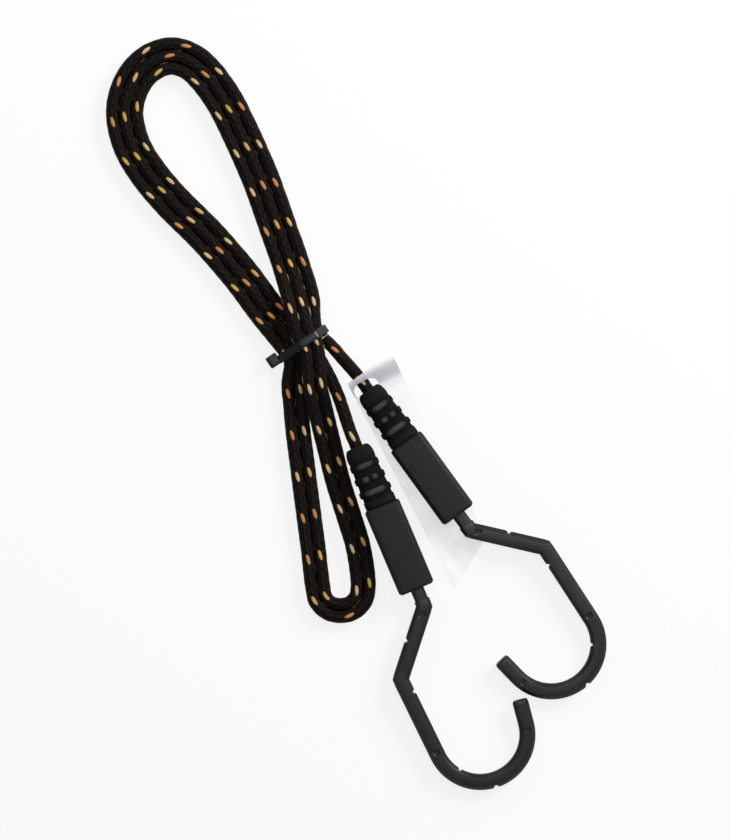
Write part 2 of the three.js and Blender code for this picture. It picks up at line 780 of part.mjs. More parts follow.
function addGrip(end, matrix) {
  const holder = new THREE.Group();
  holder.applyMatrix4(matrix);
  add(holder, `hook_cover_${end}`, hookCover(), hook_black);
  add(holder, `hook_rod_${end}`, hookRod(), steel);
  add(holder, `grip_upper_${end}`, gripShell(1), grip_black);
  add(holder, `grip_lower_${end}`, gripShell(-1), grip_black);
  add(holder, `flex_boot_${end}`, flexBoot(), boot_black);
  add(holder, `cord_ferrule_${end}`, crimpFerrule(), steel);
  add(holder, `cord_tail_${end}_sheath`, cordTailSheath(), braid_black);
  add(holder, `cord_tail_${end}_core`, cordTailCore(), latex);
  group.add(holder);
}
addGrip('a', matrix_a);
addGrip('b', matrix_b);

const words = (vector) => vector.toArray().map((v) => v.toFixed(3)).join(', ');
const held_box = new THREE.Box3();
group.updateMatrixWorld(true);
group.traverse((node) => {
  if (node.isMesh && !/^(cord_hank|cord_end|cable_tie|hang_tag)/.test(node.name)) {
    held_box.union(new THREE.Box3().setFromObject(node, true));
  }
});
console.log(`hinge a at ${words(hinge_a)}, hinge b at ${words(hinge_b)}`);
console.log(`the two grips reach from ${words(held_box.min)} to ${words(held_box.max)}`);

export default group;
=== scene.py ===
# %% [markdown]
# # A bungee cord, put away as a hank
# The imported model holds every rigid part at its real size. This script keeps that frame and gives
# it its looks: the braided cord, the moulded hooks and grips, the rubber boots, the cable tie and
# the film tag. The frame is loaded first, because every piece below takes its place from it.

import json
import math

import bpy
import numpy as np
from mathutils import Matrix, Vector


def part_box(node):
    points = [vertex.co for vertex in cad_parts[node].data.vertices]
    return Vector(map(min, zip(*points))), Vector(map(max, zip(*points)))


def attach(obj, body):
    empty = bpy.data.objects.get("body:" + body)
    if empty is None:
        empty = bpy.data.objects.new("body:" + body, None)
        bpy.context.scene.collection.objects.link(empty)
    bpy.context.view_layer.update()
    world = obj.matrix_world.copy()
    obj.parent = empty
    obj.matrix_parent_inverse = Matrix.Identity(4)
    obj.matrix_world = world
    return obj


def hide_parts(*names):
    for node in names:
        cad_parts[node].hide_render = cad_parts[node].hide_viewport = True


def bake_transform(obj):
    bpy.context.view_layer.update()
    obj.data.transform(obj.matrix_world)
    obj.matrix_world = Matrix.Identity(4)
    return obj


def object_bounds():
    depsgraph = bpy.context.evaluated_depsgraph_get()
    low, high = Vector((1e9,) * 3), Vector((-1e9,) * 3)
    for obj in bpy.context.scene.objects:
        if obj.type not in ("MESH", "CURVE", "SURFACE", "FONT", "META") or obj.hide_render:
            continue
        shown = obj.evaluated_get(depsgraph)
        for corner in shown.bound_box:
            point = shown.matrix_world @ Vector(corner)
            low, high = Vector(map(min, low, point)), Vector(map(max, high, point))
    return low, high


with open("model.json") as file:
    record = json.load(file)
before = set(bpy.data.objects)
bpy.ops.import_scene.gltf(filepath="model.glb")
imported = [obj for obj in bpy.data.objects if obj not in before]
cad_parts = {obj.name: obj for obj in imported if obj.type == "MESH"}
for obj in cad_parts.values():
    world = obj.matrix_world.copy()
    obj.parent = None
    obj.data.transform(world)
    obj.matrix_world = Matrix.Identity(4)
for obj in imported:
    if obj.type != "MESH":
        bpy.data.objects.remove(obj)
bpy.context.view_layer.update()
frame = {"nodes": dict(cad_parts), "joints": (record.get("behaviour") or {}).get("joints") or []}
MM = 0.001

# %% [markdown]
# ## The camera
# The object lies flat and is seen from straight above. A long lens far away keeps the view close to
# a plan, so a height of a few millimetres hardly shifts anything sideways.

# %% Camera
PHOTO_HEIGHT = 840
MM_PER_PIXEL = 0.54
VIEW_MIDDLE = (-60.5, 89.6)
VIEW_PLANE = 8.0
LENS, SENSOR = 200.0, 36.0

camera_data = bpy.data.cameras.new("camera")
camera_data.lens = LENS
camera_data.sensor_width = SENSOR
camera_distance = PHOTO_HEIGHT * MM_PER_PIXEL * LENS / SENSOR
camera = bpy.data.objects.new("camera", camera_data)
camera.location = Vector((*VIEW_MIDDLE, VIEW_PLANE + camera_distance)) * MM
bpy.context.scene.collection.objects.link(camera)
bpy.context.scene.camera = camera
print("camera above the floor by", round(camera.location.z, 2), "m")

# %% [markdown]
# ## Where the two grips lie
# Each grip has a frame of its own: x runs along the grip, 0 at the block's front face and positive
# towards the hook. The hinge and its axis come from the joints, and the crimp sleeve, which is round
# about the grip's axis, gives the direction.

# %% Grip frames
GRIP_LENGTH, GRIP_WIDTH, GRIP_THICKNESS = 49.0, 20.0, 14.5
BOOT_LENGTH, MOUTH_BACK = 34.0, 2.0
MOUTH_X = -GRIP_LENGTH - BOOT_LENGTH
HINGE_X = MOUTH_X - MOUTH_BACK


def grip_frame(end, turned_over):
    """From millimetres in a grip's own frame to metres in the whole part."""
    joint = next(joint for joint in frame["joints"] if joint["child"] == f"grip_{end}")
    hinge = Vector(joint["pos_m"])
    low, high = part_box(f"cord_ferrule_{end}")
    forward = ((low + high) / 2 - hinge).normalized()
    side = Vector(joint["axis"]) * (1 if turned_over else -1)
    up = forward.cross(side).normalized()
    front = hinge - forward * HINGE_X * MM
    columns = Matrix((forward * MM, side * MM, up * MM)).transposed().to_4x4()
    columns.translation = front
    return columns


GRIPS = {"a": grip_frame("a", False), "b": grip_frame("b", True)}
for end, matrix in GRIPS.items():
    print("grip", end, "front at", [round(x / MM, 1) for x in matrix.translation])

# %% [markdown]
# ## Meshes from rings
# Nearly everything here is a section carried along a line: the cord, the hooks, the boots. One
# helper lays the rings, another joins them with four-sided faces that point outwards. Holes that are
# easier to cut than to draw are taken out with a second piece.

# %% Ring helpers
def compass(heading):
    """The direction in plan that a heading in radians stands for."""
    return np.array((math.cos(heading), math.sin(heading)))


def ring_across(centre, along, outline):
    """One ring of a tube: the outline stands across the line, its second axis nearly upright."""
    side = np.array((along[1], -along[0], 0.0))
    side /= np.linalg.norm(side)
    up = np.cross(side, along)
    outline = np.asarray(outline)
    return centre + outline[:, :1] * side + outline[:, 1:] * up


def ring_on_axis(x, outline):
    """One ring about a grip's own axis."""
    return ring_across(np.array((x, 0.0, 0.0)), np.array((1.0, 0.0, 0.0)), outline)


def round_outline(radius, sides):
    """A circle as points, starting at the side and turning up."""
    angle = np.arange(sides) * 2 * math.pi / sides
    return np.stack((radius * np.cos(angle), radius * np.sin(angle)), 1)


def squared_oval(half, power, sides):
    """An outline between an oval, with a power of 1, and a box, with a small one."""
    circle = round_outline(1.0, sides)
    return np.sign(circle) * np.abs(circle) ** power * half


def rounded_outline(corners, radius, steps=3):
    """A polygon with round corners; the corners go round anticlockwise."""
    points = []
    corners = [np.array(c, float) for c in corners]
    for k, corner in enumerate(corners):
        before = corners[k - 1] - corner
        after = corners[(k + 1) % len(corners)] - corner
        before /= np.linalg.norm(before)
        after /= np.linalg.norm(after)
        half = math.acos(np.clip(before @ after, -1, 1)) / 2
        centre = corner + (before + after) / np.linalg.norm(before + after) * radius / math.sin(half)
        first = corner + before * radius / math.tan(half) - centre
        turn = math.pi - 2 * half
        for step in range(steps + 1):
            angle = turn * step / steps
            c, s = math.cos(angle), math.sin(angle)
            points.append(centre + (first[0] * c - first[1] * s, first[0] * s + first[1] * c))
    return np.array(points)


def skin_faces(ring_count, sides, joined=False):
    """Faces through rings whose outline turns from the side to up, pointing outwards."""
    faces = []
    for ring in range(ring_count if joined else ring_count - 1):
        here, there = ring * sides, (ring + 1) % ring_count * sides
        for k in range(sides):
            after = (k + 1) % sides
            faces.append((here + k, there + k, there + after, here + after))
    if not joined:
        last = (ring_count - 1) * sides
        faces.append(tuple(range(sides)))
        faces.append(tuple(last + k for k in reversed(range(sides))))
    return faces


def new_piece(name, points, faces, material, sharp_angle=40):
    """A mesh object with its place in its mesh, smooth except at sharp edges."""
    mesh = bpy.data.meshes.new(name)
    mesh.from_pydata([tuple(p) for p in points], [], faces)
    mesh.shade_smooth()
    mesh.set_sharp_from_angle(angle=math.radians(sharp_angle))
    mesh.materials.append(material)
    piece = bpy.data.objects.new(name, mesh)
    bpy.context.scene.collection.objects.link(piece)
    return piece


def skin_piece(name, rings, material, joined=False, matrix=None, sharp_angle=40):
    """A piece through rings, its faces turned out, moved from its own frame into the whole part."""
    faces = skin_faces(len(rings), len(rings[0]), joined)
    piece = outward(new_piece(name, np.concatenate(rings), faces, material, sharp_angle))
    if matrix is not None:
        piece.data.transform(matrix)
    piece.data.update()
    return piece


def prism(name, outline, low, high, material):
    """An upright piece with the same outline from one level to the other."""
    rings = [np.column_stack((outline, np.full(len(outline), z))) for z in (low, high)]
    return skin_piece(name, rings, material)


def outward(piece):
    """Turn the faces of a closed mesh outwards if its volume comes out negative."""
    mesh = piece.data
    points = np.empty(len(mesh.vertices) * 3)
    mesh.vertices.foreach_get("co", points)
    points = points.reshape(-1, 3)
    mesh.calc_loop_triangles()
    corners = np.empty(len(mesh.loop_triangles) * 3, int)
    mesh.loop_triangles.foreach_get("vertices", corners)
    a, b, c = (points[corners[k::3]] for k in range(3))
    if np.einsum("ij,ij->i", a, np.cross(b, c)).sum() < 0:
        mesh.flip_normals()
    return piece


# %% Cutting, joining and naming pieces
def join_pieces(name, pieces, material, sharp_angle=40):
    """One mesh out of several closed shells."""
    points, faces = [], []
    for piece in pieces:
        start = len(points)
        points += [tuple(v.co) for v in piece.data.vertices]
        faces += [tuple(start + v for v in face.vertices) for face in piece.data.polygons]
        bpy.data.objects.remove(piece)
    return new_piece(name, points, faces, material, sharp_angle)


def keep_result(piece):
    """Replace a piece's mesh by what its modifiers make of it, and drop the modifiers."""
    bpy.context.view_layer.update()
    evaluated = piece.evaluated_get(bpy.context.evaluated_depsgraph_get())
    mesh = bpy.data.meshes.new_from_object(evaluated)
    piece.modifiers.clear()
    piece.data = mesh


def cut_away(piece, cutter):
    """Take the cutter's space out of the piece, and remove the cutter."""
    cut = piece.modifiers.new("cut", "BOOLEAN")
    cut.operation = "DIFFERENCE"
    cut.solver = "EXACT"
    cut.object = cutter
    keep_result(piece)
    bpy.data.objects.remove(cutter)


def stand_in(piece, node, body):
    """The piece takes the place of a CAD solid and on its body."""
    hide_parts(node)
    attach(piece, body)


def fit_grip(piece, end, node):
    """A piece drawn in a grip's own frame takes the place of one of that grip's solids."""
    piece.data.transform(GRIPS[end])
    stand_in(piece, f"{node}_{end}", f"grip_{end}")


# %% [markdown]
# ## Finishes as Python sums
# A material is a small sum of patterns. Written with sockets and links such a sum is hard to read,
# so one class wraps a socket and lets Python's own signs add the Math nodes. Another adds any node
# to any tree: a material's, the world's or that of Geometry Nodes.

# %% Signals and finishes
MIRRORED_SHARE = 0.25


class Signal:
    """What a node gives out, used in Python sums."""

    def __init__(self, nodes, socket):
        self.nodes = nodes
        self.socket = socket

    def math(self, operation, *values):
        return self.nodes.node("ShaderNodeMath", {"operation": operation}, dict(enumerate(values)))

    def __add__(self, other):
        return self.math("ADD", self, other)

    def __sub__(self, other):
        return self.math("SUBTRACT", self, other)

    def __rsub__(self, other):
        return self.math("SUBTRACT", other, self)

    def __mul__(self, other):
        return self.math("MULTIPLY", self, other)

    def __truediv__(self, other):
        return self.math("DIVIDE", self, other)

    def __lt__(self, other):
        return self.math("LESS_THAN", self, other)

    __radd__ = __add__
    __rmul__ = __mul__

    def floor(self):
        return self.math("FLOOR", self)

    def modulo(self, other):
        return self.math("FLOORED_MODULO", self, other)

    def above_zero(self):
        return self.math("MAXIMUM", self, 0.0)

    def root(self):
        return self.math("SQRT", self)

    def sine(self):
        return self.math("SINE", self)

    def smooth(self, low, high):
        """0 below low, 1 above high and a soft step between."""
        settings = {"interpolation_type": "SMOOTHSTEP"}
        return self.nodes.node("ShaderNodeMapRange", settings, {"Value": self, 1: low, 2: high})


class Nodes:
    """A node tree, with one method that adds any node and one that fills a socket."""

    def __init__(self, tree):
        self.tree = tree

    def node(self, kind, settings, inputs, output=0):
        """Adds a node: its settings first, then the values or links of its sockets."""
        made = self.tree.nodes.new(kind)
        for name, value in settings.items():
            setattr(made, name, value)
        for key, value in inputs.items():
            self.feed(made.inputs[key], value)
        return Signal(self, made.outputs[output])

    def feed(self, socket, value):
        if isinstance(value, Signal):
            self.tree.links.new(value.socket, socket)
        elif socket.type == "RGBA":
            socket.default_value = (*value, 1)
        else:
            socket.default_value = value

    def shows_background(self):
        """1 for rays that see the white background, and a share of it for mirrored ones."""
        camera = self.node("ShaderNodeLightPath", {}, {}, "Is Camera Ray")
        glossy = Signal(self, camera.socket.node.outputs["Is Glossy Ray"])
        through = Signal(self, camera.socket.node.outputs["Is Transmission Ray"])
        return camera.math("MINIMUM", camera + glossy * MIRRORED_SHARE + through, 1.0)


class Finish(Nodes):
    """A material with its surface shader."""

    def __init__(self, name):
        self.material = bpy.data.materials.new(name)
        self.material.use_nodes = True
        super().__init__(self.material.node_tree)
        self.shader = self.tree.nodes["Principled BSDF"]
        print("finish", name)

    def set(self, **values):
        """Values or links of the surface shader, by name with _ for a space."""
        for name, value in values.items():
            self.feed(self.shader.inputs[name.replace("_", " ")], value)

    def mix(self, share, low, high):
        """A colour between two others."""
        settings = {"data_type": "RGBA"}
        return self.node("ShaderNodeMix", settings, {0: share, 6: low, 7: high}, 2)

    def parts(self, vector, count=3):
        """The separate numbers of a vector."""
        split = self.node("ShaderNodeSeparateXYZ", {}, {0: vector}).socket.node
        return [Signal(self, split.outputs[k]) for k in range(count)]

    def object_place(self):
        return self.node("ShaderNodeTexCoord", {}, {}, "Object")

    def noise(self, size, detail=2.0):
        """Cloudy noise, 0 to 1, whose blobs are about size metres across."""
        inputs = {"Vector": self.object_place(), "Scale": 1 / size, "Detail": detail}
        return self.node("ShaderNodeTexNoise", {}, inputs)

    def relief(self, height, depth, below=None):
        """A bump of that many metres, which may lie over another."""
        inputs = {"Height": height, "Distance": depth, "Strength": 1.0}
        if below is not None:
            inputs["Normal"] = below
        return self.node("ShaderNodeBump", {}, inputs)


# %% [markdown]
# ## The braid
# The cover is braided from sixteen bundles of black yarn, eight each way round. What shows is rows
# of long grains like rice, one beside the next round the cord, each row half a grain further on and
# leaning the other way. One bundle is tracer yarn, cream, gold or orange from fleck to fleck: every
# fourth grain of a row is one. One formula, which takes arrays and signals alike, shapes the mesh and
# paints the finish, so that every fleck sits on its grain.

# %% Braid sizes
CORD_DIAMETER, SHEATH_WALL = 6.5, 0.6
CORD_RADIUS = CORD_DIAMETER / 2
YARN_LOFT = 0.17
DRAWN_RADIUS = CORD_RADIUS + YARN_LOFT
CORE_RADIUS = 2.4
ROWS_ROUND = 8
ROW_WIDTH = math.pi * CORD_DIAMETER / ROWS_ROUND
GRAIN_PITCH = 5.645
BRAID_PHASE = -6.6
GRAIN_WIDTH, GRAIN_LENGTH = 2.5, 6.8
GRAIN_LEAN = 0.16
TURN_OF_BRAID = 4
RELIEF_DEPTH = 0.22


def grain_place(around, travelled, whole):
    """Row, whether it is odd, grain, and how far off the grain's middle; whole rounds down."""
    rows = around * ROWS_ROUND
    row = whole(rows)
    odd = row - whole(row * 0.5) * 2
    along = travelled / GRAIN_PITCH - row * 0.5
    grain = whole(along + 0.5)
    off_along = (along - grain) * GRAIN_PITCH
    off_across = (rows - row - 0.5) * ROW_WIDTH - off_along * (1 - odd * 2) * GRAIN_LEAN
    return row, odd, grain, off_along, off_across


def grain_height(around, travelled):
    """Height of the braid, 0 to 1, at a share of the way round and a length in mm along the cord."""
    *_, off_along, off_across = grain_place(around % 1.0, travelled, np.floor)
    spread = (2 * off_across / GRAIN_WIDTH) ** 2 + (2 * off_along / GRAIN_LENGTH) ** 2
    return np.sqrt(np.maximum(0, 1 - spread))


# %% Braid finish
# The yarn's dark colour also serves as painted shade between the grains; the pale one is a painted
# highlight on their tops.
YARN_DARK, YARN_PAINTED_SHEEN = (0.0022, 0.0015, 0.0012), (0.0094, 0.0066, 0.0054)
TRACER_CREAM, TRACER_GOLD = (0.64, 0.48, 0.28), (0.58, 0.40, 0.12)
# The deep orange is painted shade at the low edges of the flecks.
TRACER_ORANGE, TRACER_PAINTED_SHADE = (0.55, 0.235, 0.085), (0.20, 0.075, 0.014)
FILAMENT_RIPPLE, FILAMENT_SLANT, FILAMENT_DEPTH = 21, 1.5, 0.04
FUZZ_SIZE = 0.0011


def braid_finish():
    """Black yarn with a fleck of tracer yarn, of one of three hues, on every fourth grain of a row."""
    finish = Finish("braided_cord")
    place = finish.node("ShaderNodeUVMap", {"uv_map": "UVMap"}, {})
    around, travelled = finish.parts(place, 2)
    row, odd, grain, off_along, off_across = grain_place(around, travelled, Signal.floor)
    across = off_across * (2 / GRAIN_WIDTH)
    ends = off_along * (2 / GRAIN_LENGTH)
    height = (1 - (across * across + ends * ends)).above_zero().root()
    filament = (off_across * FILAMENT_RIPPLE + off_along * FILAMENT_SLANT).sine() * 0.5 + 0.5
    fuzz = finish.noise(FUZZ_SIZE, 3.0)
    top = height.smooth(0.1, 1.0)
    # Painted highlight and painted shade: each grain is paler on its top and dark in the hollows between
    # grains.
    yarn = finish.mix(top * (fuzz * 0.6 + 0.4), YARN_DARK, YARN_PAINTED_SHEEN)
    slender = across * across * 1.15 + ends * ends * 0.75
    comes_up = grain.modulo(float(TURN_OF_BRAID)) < 0.5
    fleck = (odd < 0.5) * comes_up * (1 - slender.smooth(0.55, 0.95))
    dye = finish.node("ShaderNodeTexWhiteNoise", {"noise_dimensions": "1D"}, {"W": grain * 7.3 + row})
    warm = finish.mix(dye.smooth(0.15, 0.45), TRACER_ORANGE, TRACER_GOLD)
    tracer = finish.mix(dye.smooth(0.5, 0.8), warm, TRACER_CREAM)
    # Painted shade: each fleck darkens towards its low edges, where the grain dips, and in stripes along
    # its filaments.
    gold = finish.mix(height.smooth(0.45, 0.9) * (filament * 0.25 + 0.75), TRACER_PAINTED_SHADE, tracer)
    weave = finish.relief(height, RELIEF_DEPTH * MM)
    normal = finish.relief(filament * height, FILAMENT_DEPTH * MM, weave)
    finish.set(Base_Color=finish.mix(fleck, yarn, gold), Normal=normal)
    finish.set(Roughness=0.75 - top * 0.15 + fuzz * 0.1, Specular_IOR_Level=0.09)
    return finish.material


BRAID = braid_finish()

# %% [markdown]
# ## Moulded plastic, rubber, steel and film
# Black parts differ by their gloss. The hooks are a hard, slightly shiny nylon, the grips have a
# fine matt grain, the boots are dull rubber and the tie is smooth nylon.

# %% Plain finishes
CLOUD_SIZE, SCUFF_SIZE, DENT_DEPTH = 0.018, 0.0035, 0.00012


def moulded_finish(name, low, high, roughness, grain_size, grain_depth, gloss=0.4):
    """Moulded plastic or rubber: cloudy colour, a fine grain and soft dents. Sizes are in mm."""
    finish = Finish(name)
    cloud = finish.noise(CLOUD_SIZE, 4.0)
    grain = finish.noise(grain_size * MM, 3.0)
    scuff = finish.noise(SCUFF_SIZE, 6.0).smooth(0.62, 0.74)
    colour = finish.mix(cloud.smooth(0.3, 0.7) * 0.7 + scuff * 0.3, low, high)
    dents = finish.relief(cloud, DENT_DEPTH)
    finish.set(Base_Color=colour, Roughness=roughness + scuff * 0.12 - cloud * 0.08)
    finish.set(Normal=finish.relief(grain, grain_depth * MM, dents), Specular_IOR_Level=gloss)
    return finish.material


HOOK_PLASTIC = moulded_finish("hook_nylon", (0.0045,) * 3, (0.011,) * 3, 0.38, 0.4, 0.02, 0.34)
GRIP_PLASTIC = moulded_finish(
    "grip_plastic", (0.0055, 0.0062, 0.0066), (0.0088, 0.0098, 0.0102), 0.5, 0.5, 0.04, 0.22)
TIE_NYLON = moulded_finish(
    "tie_nylon", (0.0028, 0.0032, 0.0042), (0.0048, 0.0054, 0.0070), 0.34, 0.8, 0.01, 0.3)
STEEL = moulded_finish("plain_steel", (0.42, 0.42, 0.43), (0.56, 0.56, 0.57), 0.32, 0.3, 0.01)
STEEL.node_tree.nodes["Principled BSDF"].inputs["Metallic"].default_value = 1.0
LATEX = moulded_finish("latex_core", (0.52, 0.43, 0.26), (0.62, 0.52, 0.33), 0.7, 0.5, 0.05)
# The dark colour also serves as painted shade in the boot's grooves; the pale one is a painted highlight
# on the crests of the bars.
RUBBER_DARK, RUBBER_PAINTED_SHEEN = (0.0014,) * 3, (0.044, 0.044, 0.045)


def boot_finish():
    """Dull rubber, with painted shade in the grooves and a painted highlight on the crests of the bars.
    """
    finish = Finish("boot_rubber")
    crest = finish.node("ShaderNodeAttribute", {"attribute_name": "crest"}, {}, "Fac")
    patchy = finish.noise(0.004, 3.0) * 0.7 + 0.5
    grain = finish.noise(0.0006, 3.0)
    # Painted highlight and painted shade: the colour rises with crest from the dark rubber in the grooves
    # to a pale sheen on the bars.
    finish.set(Base_Color=finish.mix(crest * patchy, RUBBER_DARK, RUBBER_PAINTED_SHEEN))
    finish.set(Roughness=0.8 - crest * 0.38, Specular_IOR_Level=0.14)
    finish.set(Normal=finish.relief(grain, 0.00004))
    return finish.material


BOOT_RUBBER = boot_finish()


def film_finish():
    """Clear film: a milky veil, made more opaque where it stands up steeply over the cord, as a painted
    glare.
    """
    finish = Finish("tag_film")
    height = finish.parts(finish.object_place())[2]
    wave = finish.noise(0.022, 2.0)
    crease = finish.noise(0.009, 2.0).smooth(0.55, 0.75)
    colour = finish.mix(wave.smooth(0.35, 0.65), (0.86, 0.87, 0.92), (0.94, 0.95, 0.99))
    veil = 0.11 + crease * 0.06 + (1 - wave.smooth(0.35, 0.6)) * 0.05
    # Painted glare: the film turns more opaque and pale the higher it stands over the cord.
    finish.set(Base_Color=colour, Alpha=veil + height.smooth(0.003, 0.013) * 0.5)
    finish.set(Normal=finish.relief(wave, 0.0012), Roughness=0.2 + crease * 0.1)
    return finish.material


FILM = film_finish()

# %% [markdown]
# ## The cord's route
# The cord is one line, from one boot through the hank to the other boot. The hank is three loops
# one way and two the other, and all six strands cross at the waist under the tie. The points of the
# middle lane are listed; each loop is that lane moved sideways. Strands of soft yarn press
# against each other, so the lanes are drawn a little closer than the solids keep them.

# %% Route sizes and points
GAP, PRESS = 0.3, 0.12
STRAND_PITCH = 2 * DRAWN_RADIUS - PRESS
TIE_THICKNESS = 1.2
WAIST, SLOT_PITCH, WAIST_STRAIGHT = np.array((-94.5, 130.5)), 7.1, 3.5
WAIST_HEADING = math.radians(-56)
WAIST_ALONG = compass(WAIST_HEADING)
WAIST_ACROSS = np.array((-WAIST_ALONG[1], WAIST_ALONG[0]))
LANE_RISE = math.sqrt((2 * DRAWN_RADIUS + GAP) ** 2 - (SLOT_PITCH / 2) ** 2)
WAIST_HEIGHT = TIE_THICKNESS + GAP + DRAWN_RADIUS

UPPER_LOOP = [
    (-95, 154.5), (-101, 175), (-108, 195), (-116.5, 219), (-126.5, 242), (-136.5, 262),
    (-146.5, 276), (-155, 283.5), (-165, 286.5), (-174.5, 284), (-183, 277), (-188.5, 267),
    (-190.5, 255.5), (-187, 239), (-178, 223.5), (-165, 208), (-146, 189), (-127, 167), (-114, 149.5),
]
LOWER_LOOP = [
    (-99, 109), (-98, 98), (-97, 86), (-95, 70), (-92, 46.5), (-88.5, 20), (-86, -1),
    (-84.5, -7.5), (-80, -12), (-73.5, -13.5), (-67.5, -12), (-63, -7.5), (-61.5, -1),
    (-64, 20), (-69, 37), (-75, 56), (-80, 76), (-84, 92.5), (-87, 106),
]
UPPER_SETTLE = [[0, 0], [0.62, 0], [1.08, 0.15]]
LOWER_SETTLE = [[1, 0.25, 0], [1, 0.6, 0.1]]
END_A_ROUTE = [(-78.2, 129.2, 5), (-72.6, 122.8, 6.6)]
END_B_ROUTE = [(-82.5, 118.5, 3.4), (-75.5, 104, 6)]
STRANDS = {
    "end_a": (1.6, 0), "left": [(-1.45, 0), (-0.5, 0)],
    "right": [(1, 1), (0, 1)], "end_b": (0.5, 0),
}


def waist_point(strand, along):
    """A strand's place in the waist: its slot across the strap and its layer."""
    slot, layer = strand
    x, y = WAIST + slot * SLOT_PITCH * WAIST_ACROSS + along * WAIST_ALONG
    return (x, y, WAIST_HEIGHT + layer * LANE_RISE)


def waist_pass(strand, direction):
    reach = direction * WAIST_STRAIGHT
    return [waist_point(strand, -reach), waist_point(strand, reach)]


def lane(middle, offset, lift_at):
    """One loop of a bundle: the middle lane moved sideways by whole strands."""
    last = len(middle) - 1
    shift = offset * STRAND_PITCH
    top_height = WAIST_HEIGHT + LANE_RISE
    points = []
    for k, (x, y) in enumerate(middle):
        x0, y0 = middle[max(k - 1, 0)]
        x1, y1 = middle[min(k + 1, last)]
        outward_x, outward_y = np.array((y1 - y0, x0 - x1)) / math.hypot(x1 - x0, y1 - y0)
        height = DRAWN_RADIUS + (top_height - DRAWN_RADIUS) * lift_at(k)
        points.append((x + shift * outward_x, y + shift * outward_y, height))
    return points


def mouth_point(end, distance):
    """A point on a grip's axis, that far outside the hinge, in millimetres."""
    return tuple(GRIPS[end] @ Vector((HINGE_X - distance, 0, 0)) / MM)


def settled(shares, k):
    return shares[k] if k < len(shares) else 0


def cord_route():
    route = [mouth_point("a", 0), mouth_point("a", CORD_DIAMETER)]
    route += END_A_ROUTE[::-1] + waist_pass(STRANDS["end_a"], -1)
    for loop in range(3):
        route += lane(UPPER_LOOP, 1 - loop, lambda k: settled(UPPER_SETTLE[loop], k))
        if loop < 2:
            from_end = len(LOWER_LOOP) - 1
            route += waist_pass(STRANDS["left"][loop], 1)
            route += lane(LOWER_LOOP, 0.5 - loop, lambda k: settled(LOWER_SETTLE[loop], from_end - k))
            route += waist_pass(STRANDS["right"][loop], -1)
    route += waist_pass(STRANDS["end_b"], 1) + END_B_ROUTE
    return np.array(route + [mouth_point("b", CORD_DIAMETER), mouth_point("b", 0)])


# %% [markdown]
# A cord has no corners, so the points are joined by a centripetal Catmull-Rom curve, which passes
# through each point and never loops back between two of them. A route is such a line that can be
# asked for the place at a length along it.

# %% A smooth line through the points
def smooth_line(points, steps=60):
    """Close points on the centripetal curve through the given ones."""
    first, last = 2 * points[0] - points[1], 2 * points[-1] - points[-2]
    p = np.vstack((first, points, last))
    share = np.linspace(0, 1, steps, endpoint=False)[:, None]
    spans = []
    for k in range(1, len(p) - 2):
        d0, d1, d2 = (math.sqrt(np.linalg.norm(p[k + j] - p[k + j - 1])) for j in range(3))
        x0, x1, x2, x3 = p[k - 1 : k + 3]
        t1 = ((x1 - x0) / d0 - (x2 - x0) / (d0 + d1) + (x2 - x1) / d1) * d1
        t2 = ((x2 - x1) / d1 - (x3 - x1) / (d1 + d2) + (x3 - x2) / d2) * d1
        c2, c3 = 3 * (x2 - x1) - 2 * t1 - t2, 2 * (x1 - x2) + t1 + t2
        spans.append(x1 + t1 * share + c2 * share**2 + c3 * share**3)
    return np.vstack(spans + [points[-1:]])


class Route:
    """A line in millimetres, measured along its length."""

    def __init__(self, line):
        self.line = line
        steps = np.linalg.norm(np.diff(line, axis=0), axis=1)
        self.travelled = np.concatenate(([0], np.cumsum(steps)))
        self.length = self.travelled[-1]

    def at(self, lengths):
        return np.stack([np.interp(lengths, self.travelled, self.line[:, k]) for k in range(3)], 1)

    def nearest(self, point):
        """The length at which the line comes nearest to a point."""
        return self.travelled[np.argmin(np.linalg.norm(self.line - np.array(point), axis=1))]


CORD = Route(smooth_line(cord_route()))
print("cord drawn", round(CORD.length, 1), "mm from grip to grip")

HANK_START = CORD.nearest(waist_point(STRANDS["end_a"], WAIST_STRAIGHT))
HANK_END = CORD.nearest(waist_point(STRANDS["end_b"], WAIST_STRAIGHT))
print("hank from", round(HANK_START, 1), "to", round(HANK_END, 1), "mm along the cord")

# %% [markdown]
# ## The braided tube
# Each row of grains has four points across it and eight rings to a grain, so every grain is sampled
# alike, and one row faces straight up. The tube is hollow, as the real cover is, and its inner wall
# needs far fewer rings. The core inside it is a bundle of rubber strands; nothing shows of it but
# where the cord would be cut.

# %% Cord tubes
TUBE_SIDES = 4 * ROWS_ROUND
RING_STEP = GRAIN_PITCH / 8
INNER_STEP = 4.0
HALF_ROW = 0.5 / ROWS_ROUND
MIDDLE_HEIGHT = 0.6
DIRECTION_REACH = 0.4
CORE_LOBES, CORE_SIDES, LOBE_DEPTH = 9, 36, 0.05


def rings_on(route, at, radius_at, sides):
    """Rings of a tube at lengths along a route; radius_at gives the radii round each ring."""
    ahead = route.at(np.minimum(at + DIRECTION_REACH, route.length))
    along = ahead - route.at(np.maximum(at - DIRECTION_REACH, 0))
    along /= np.linalg.norm(along, axis=1)[:, None]
    circle = round_outline(1.0, sides)
    return [
        ring_across(centre, way, circle * radius_at(s)[:, None])
        for centre, way, s in zip(route.at(at), along, at)]


def even_lengths(start, end, step):
    return np.linspace(start, end, max(2, round((end - start) / step)) + 1)


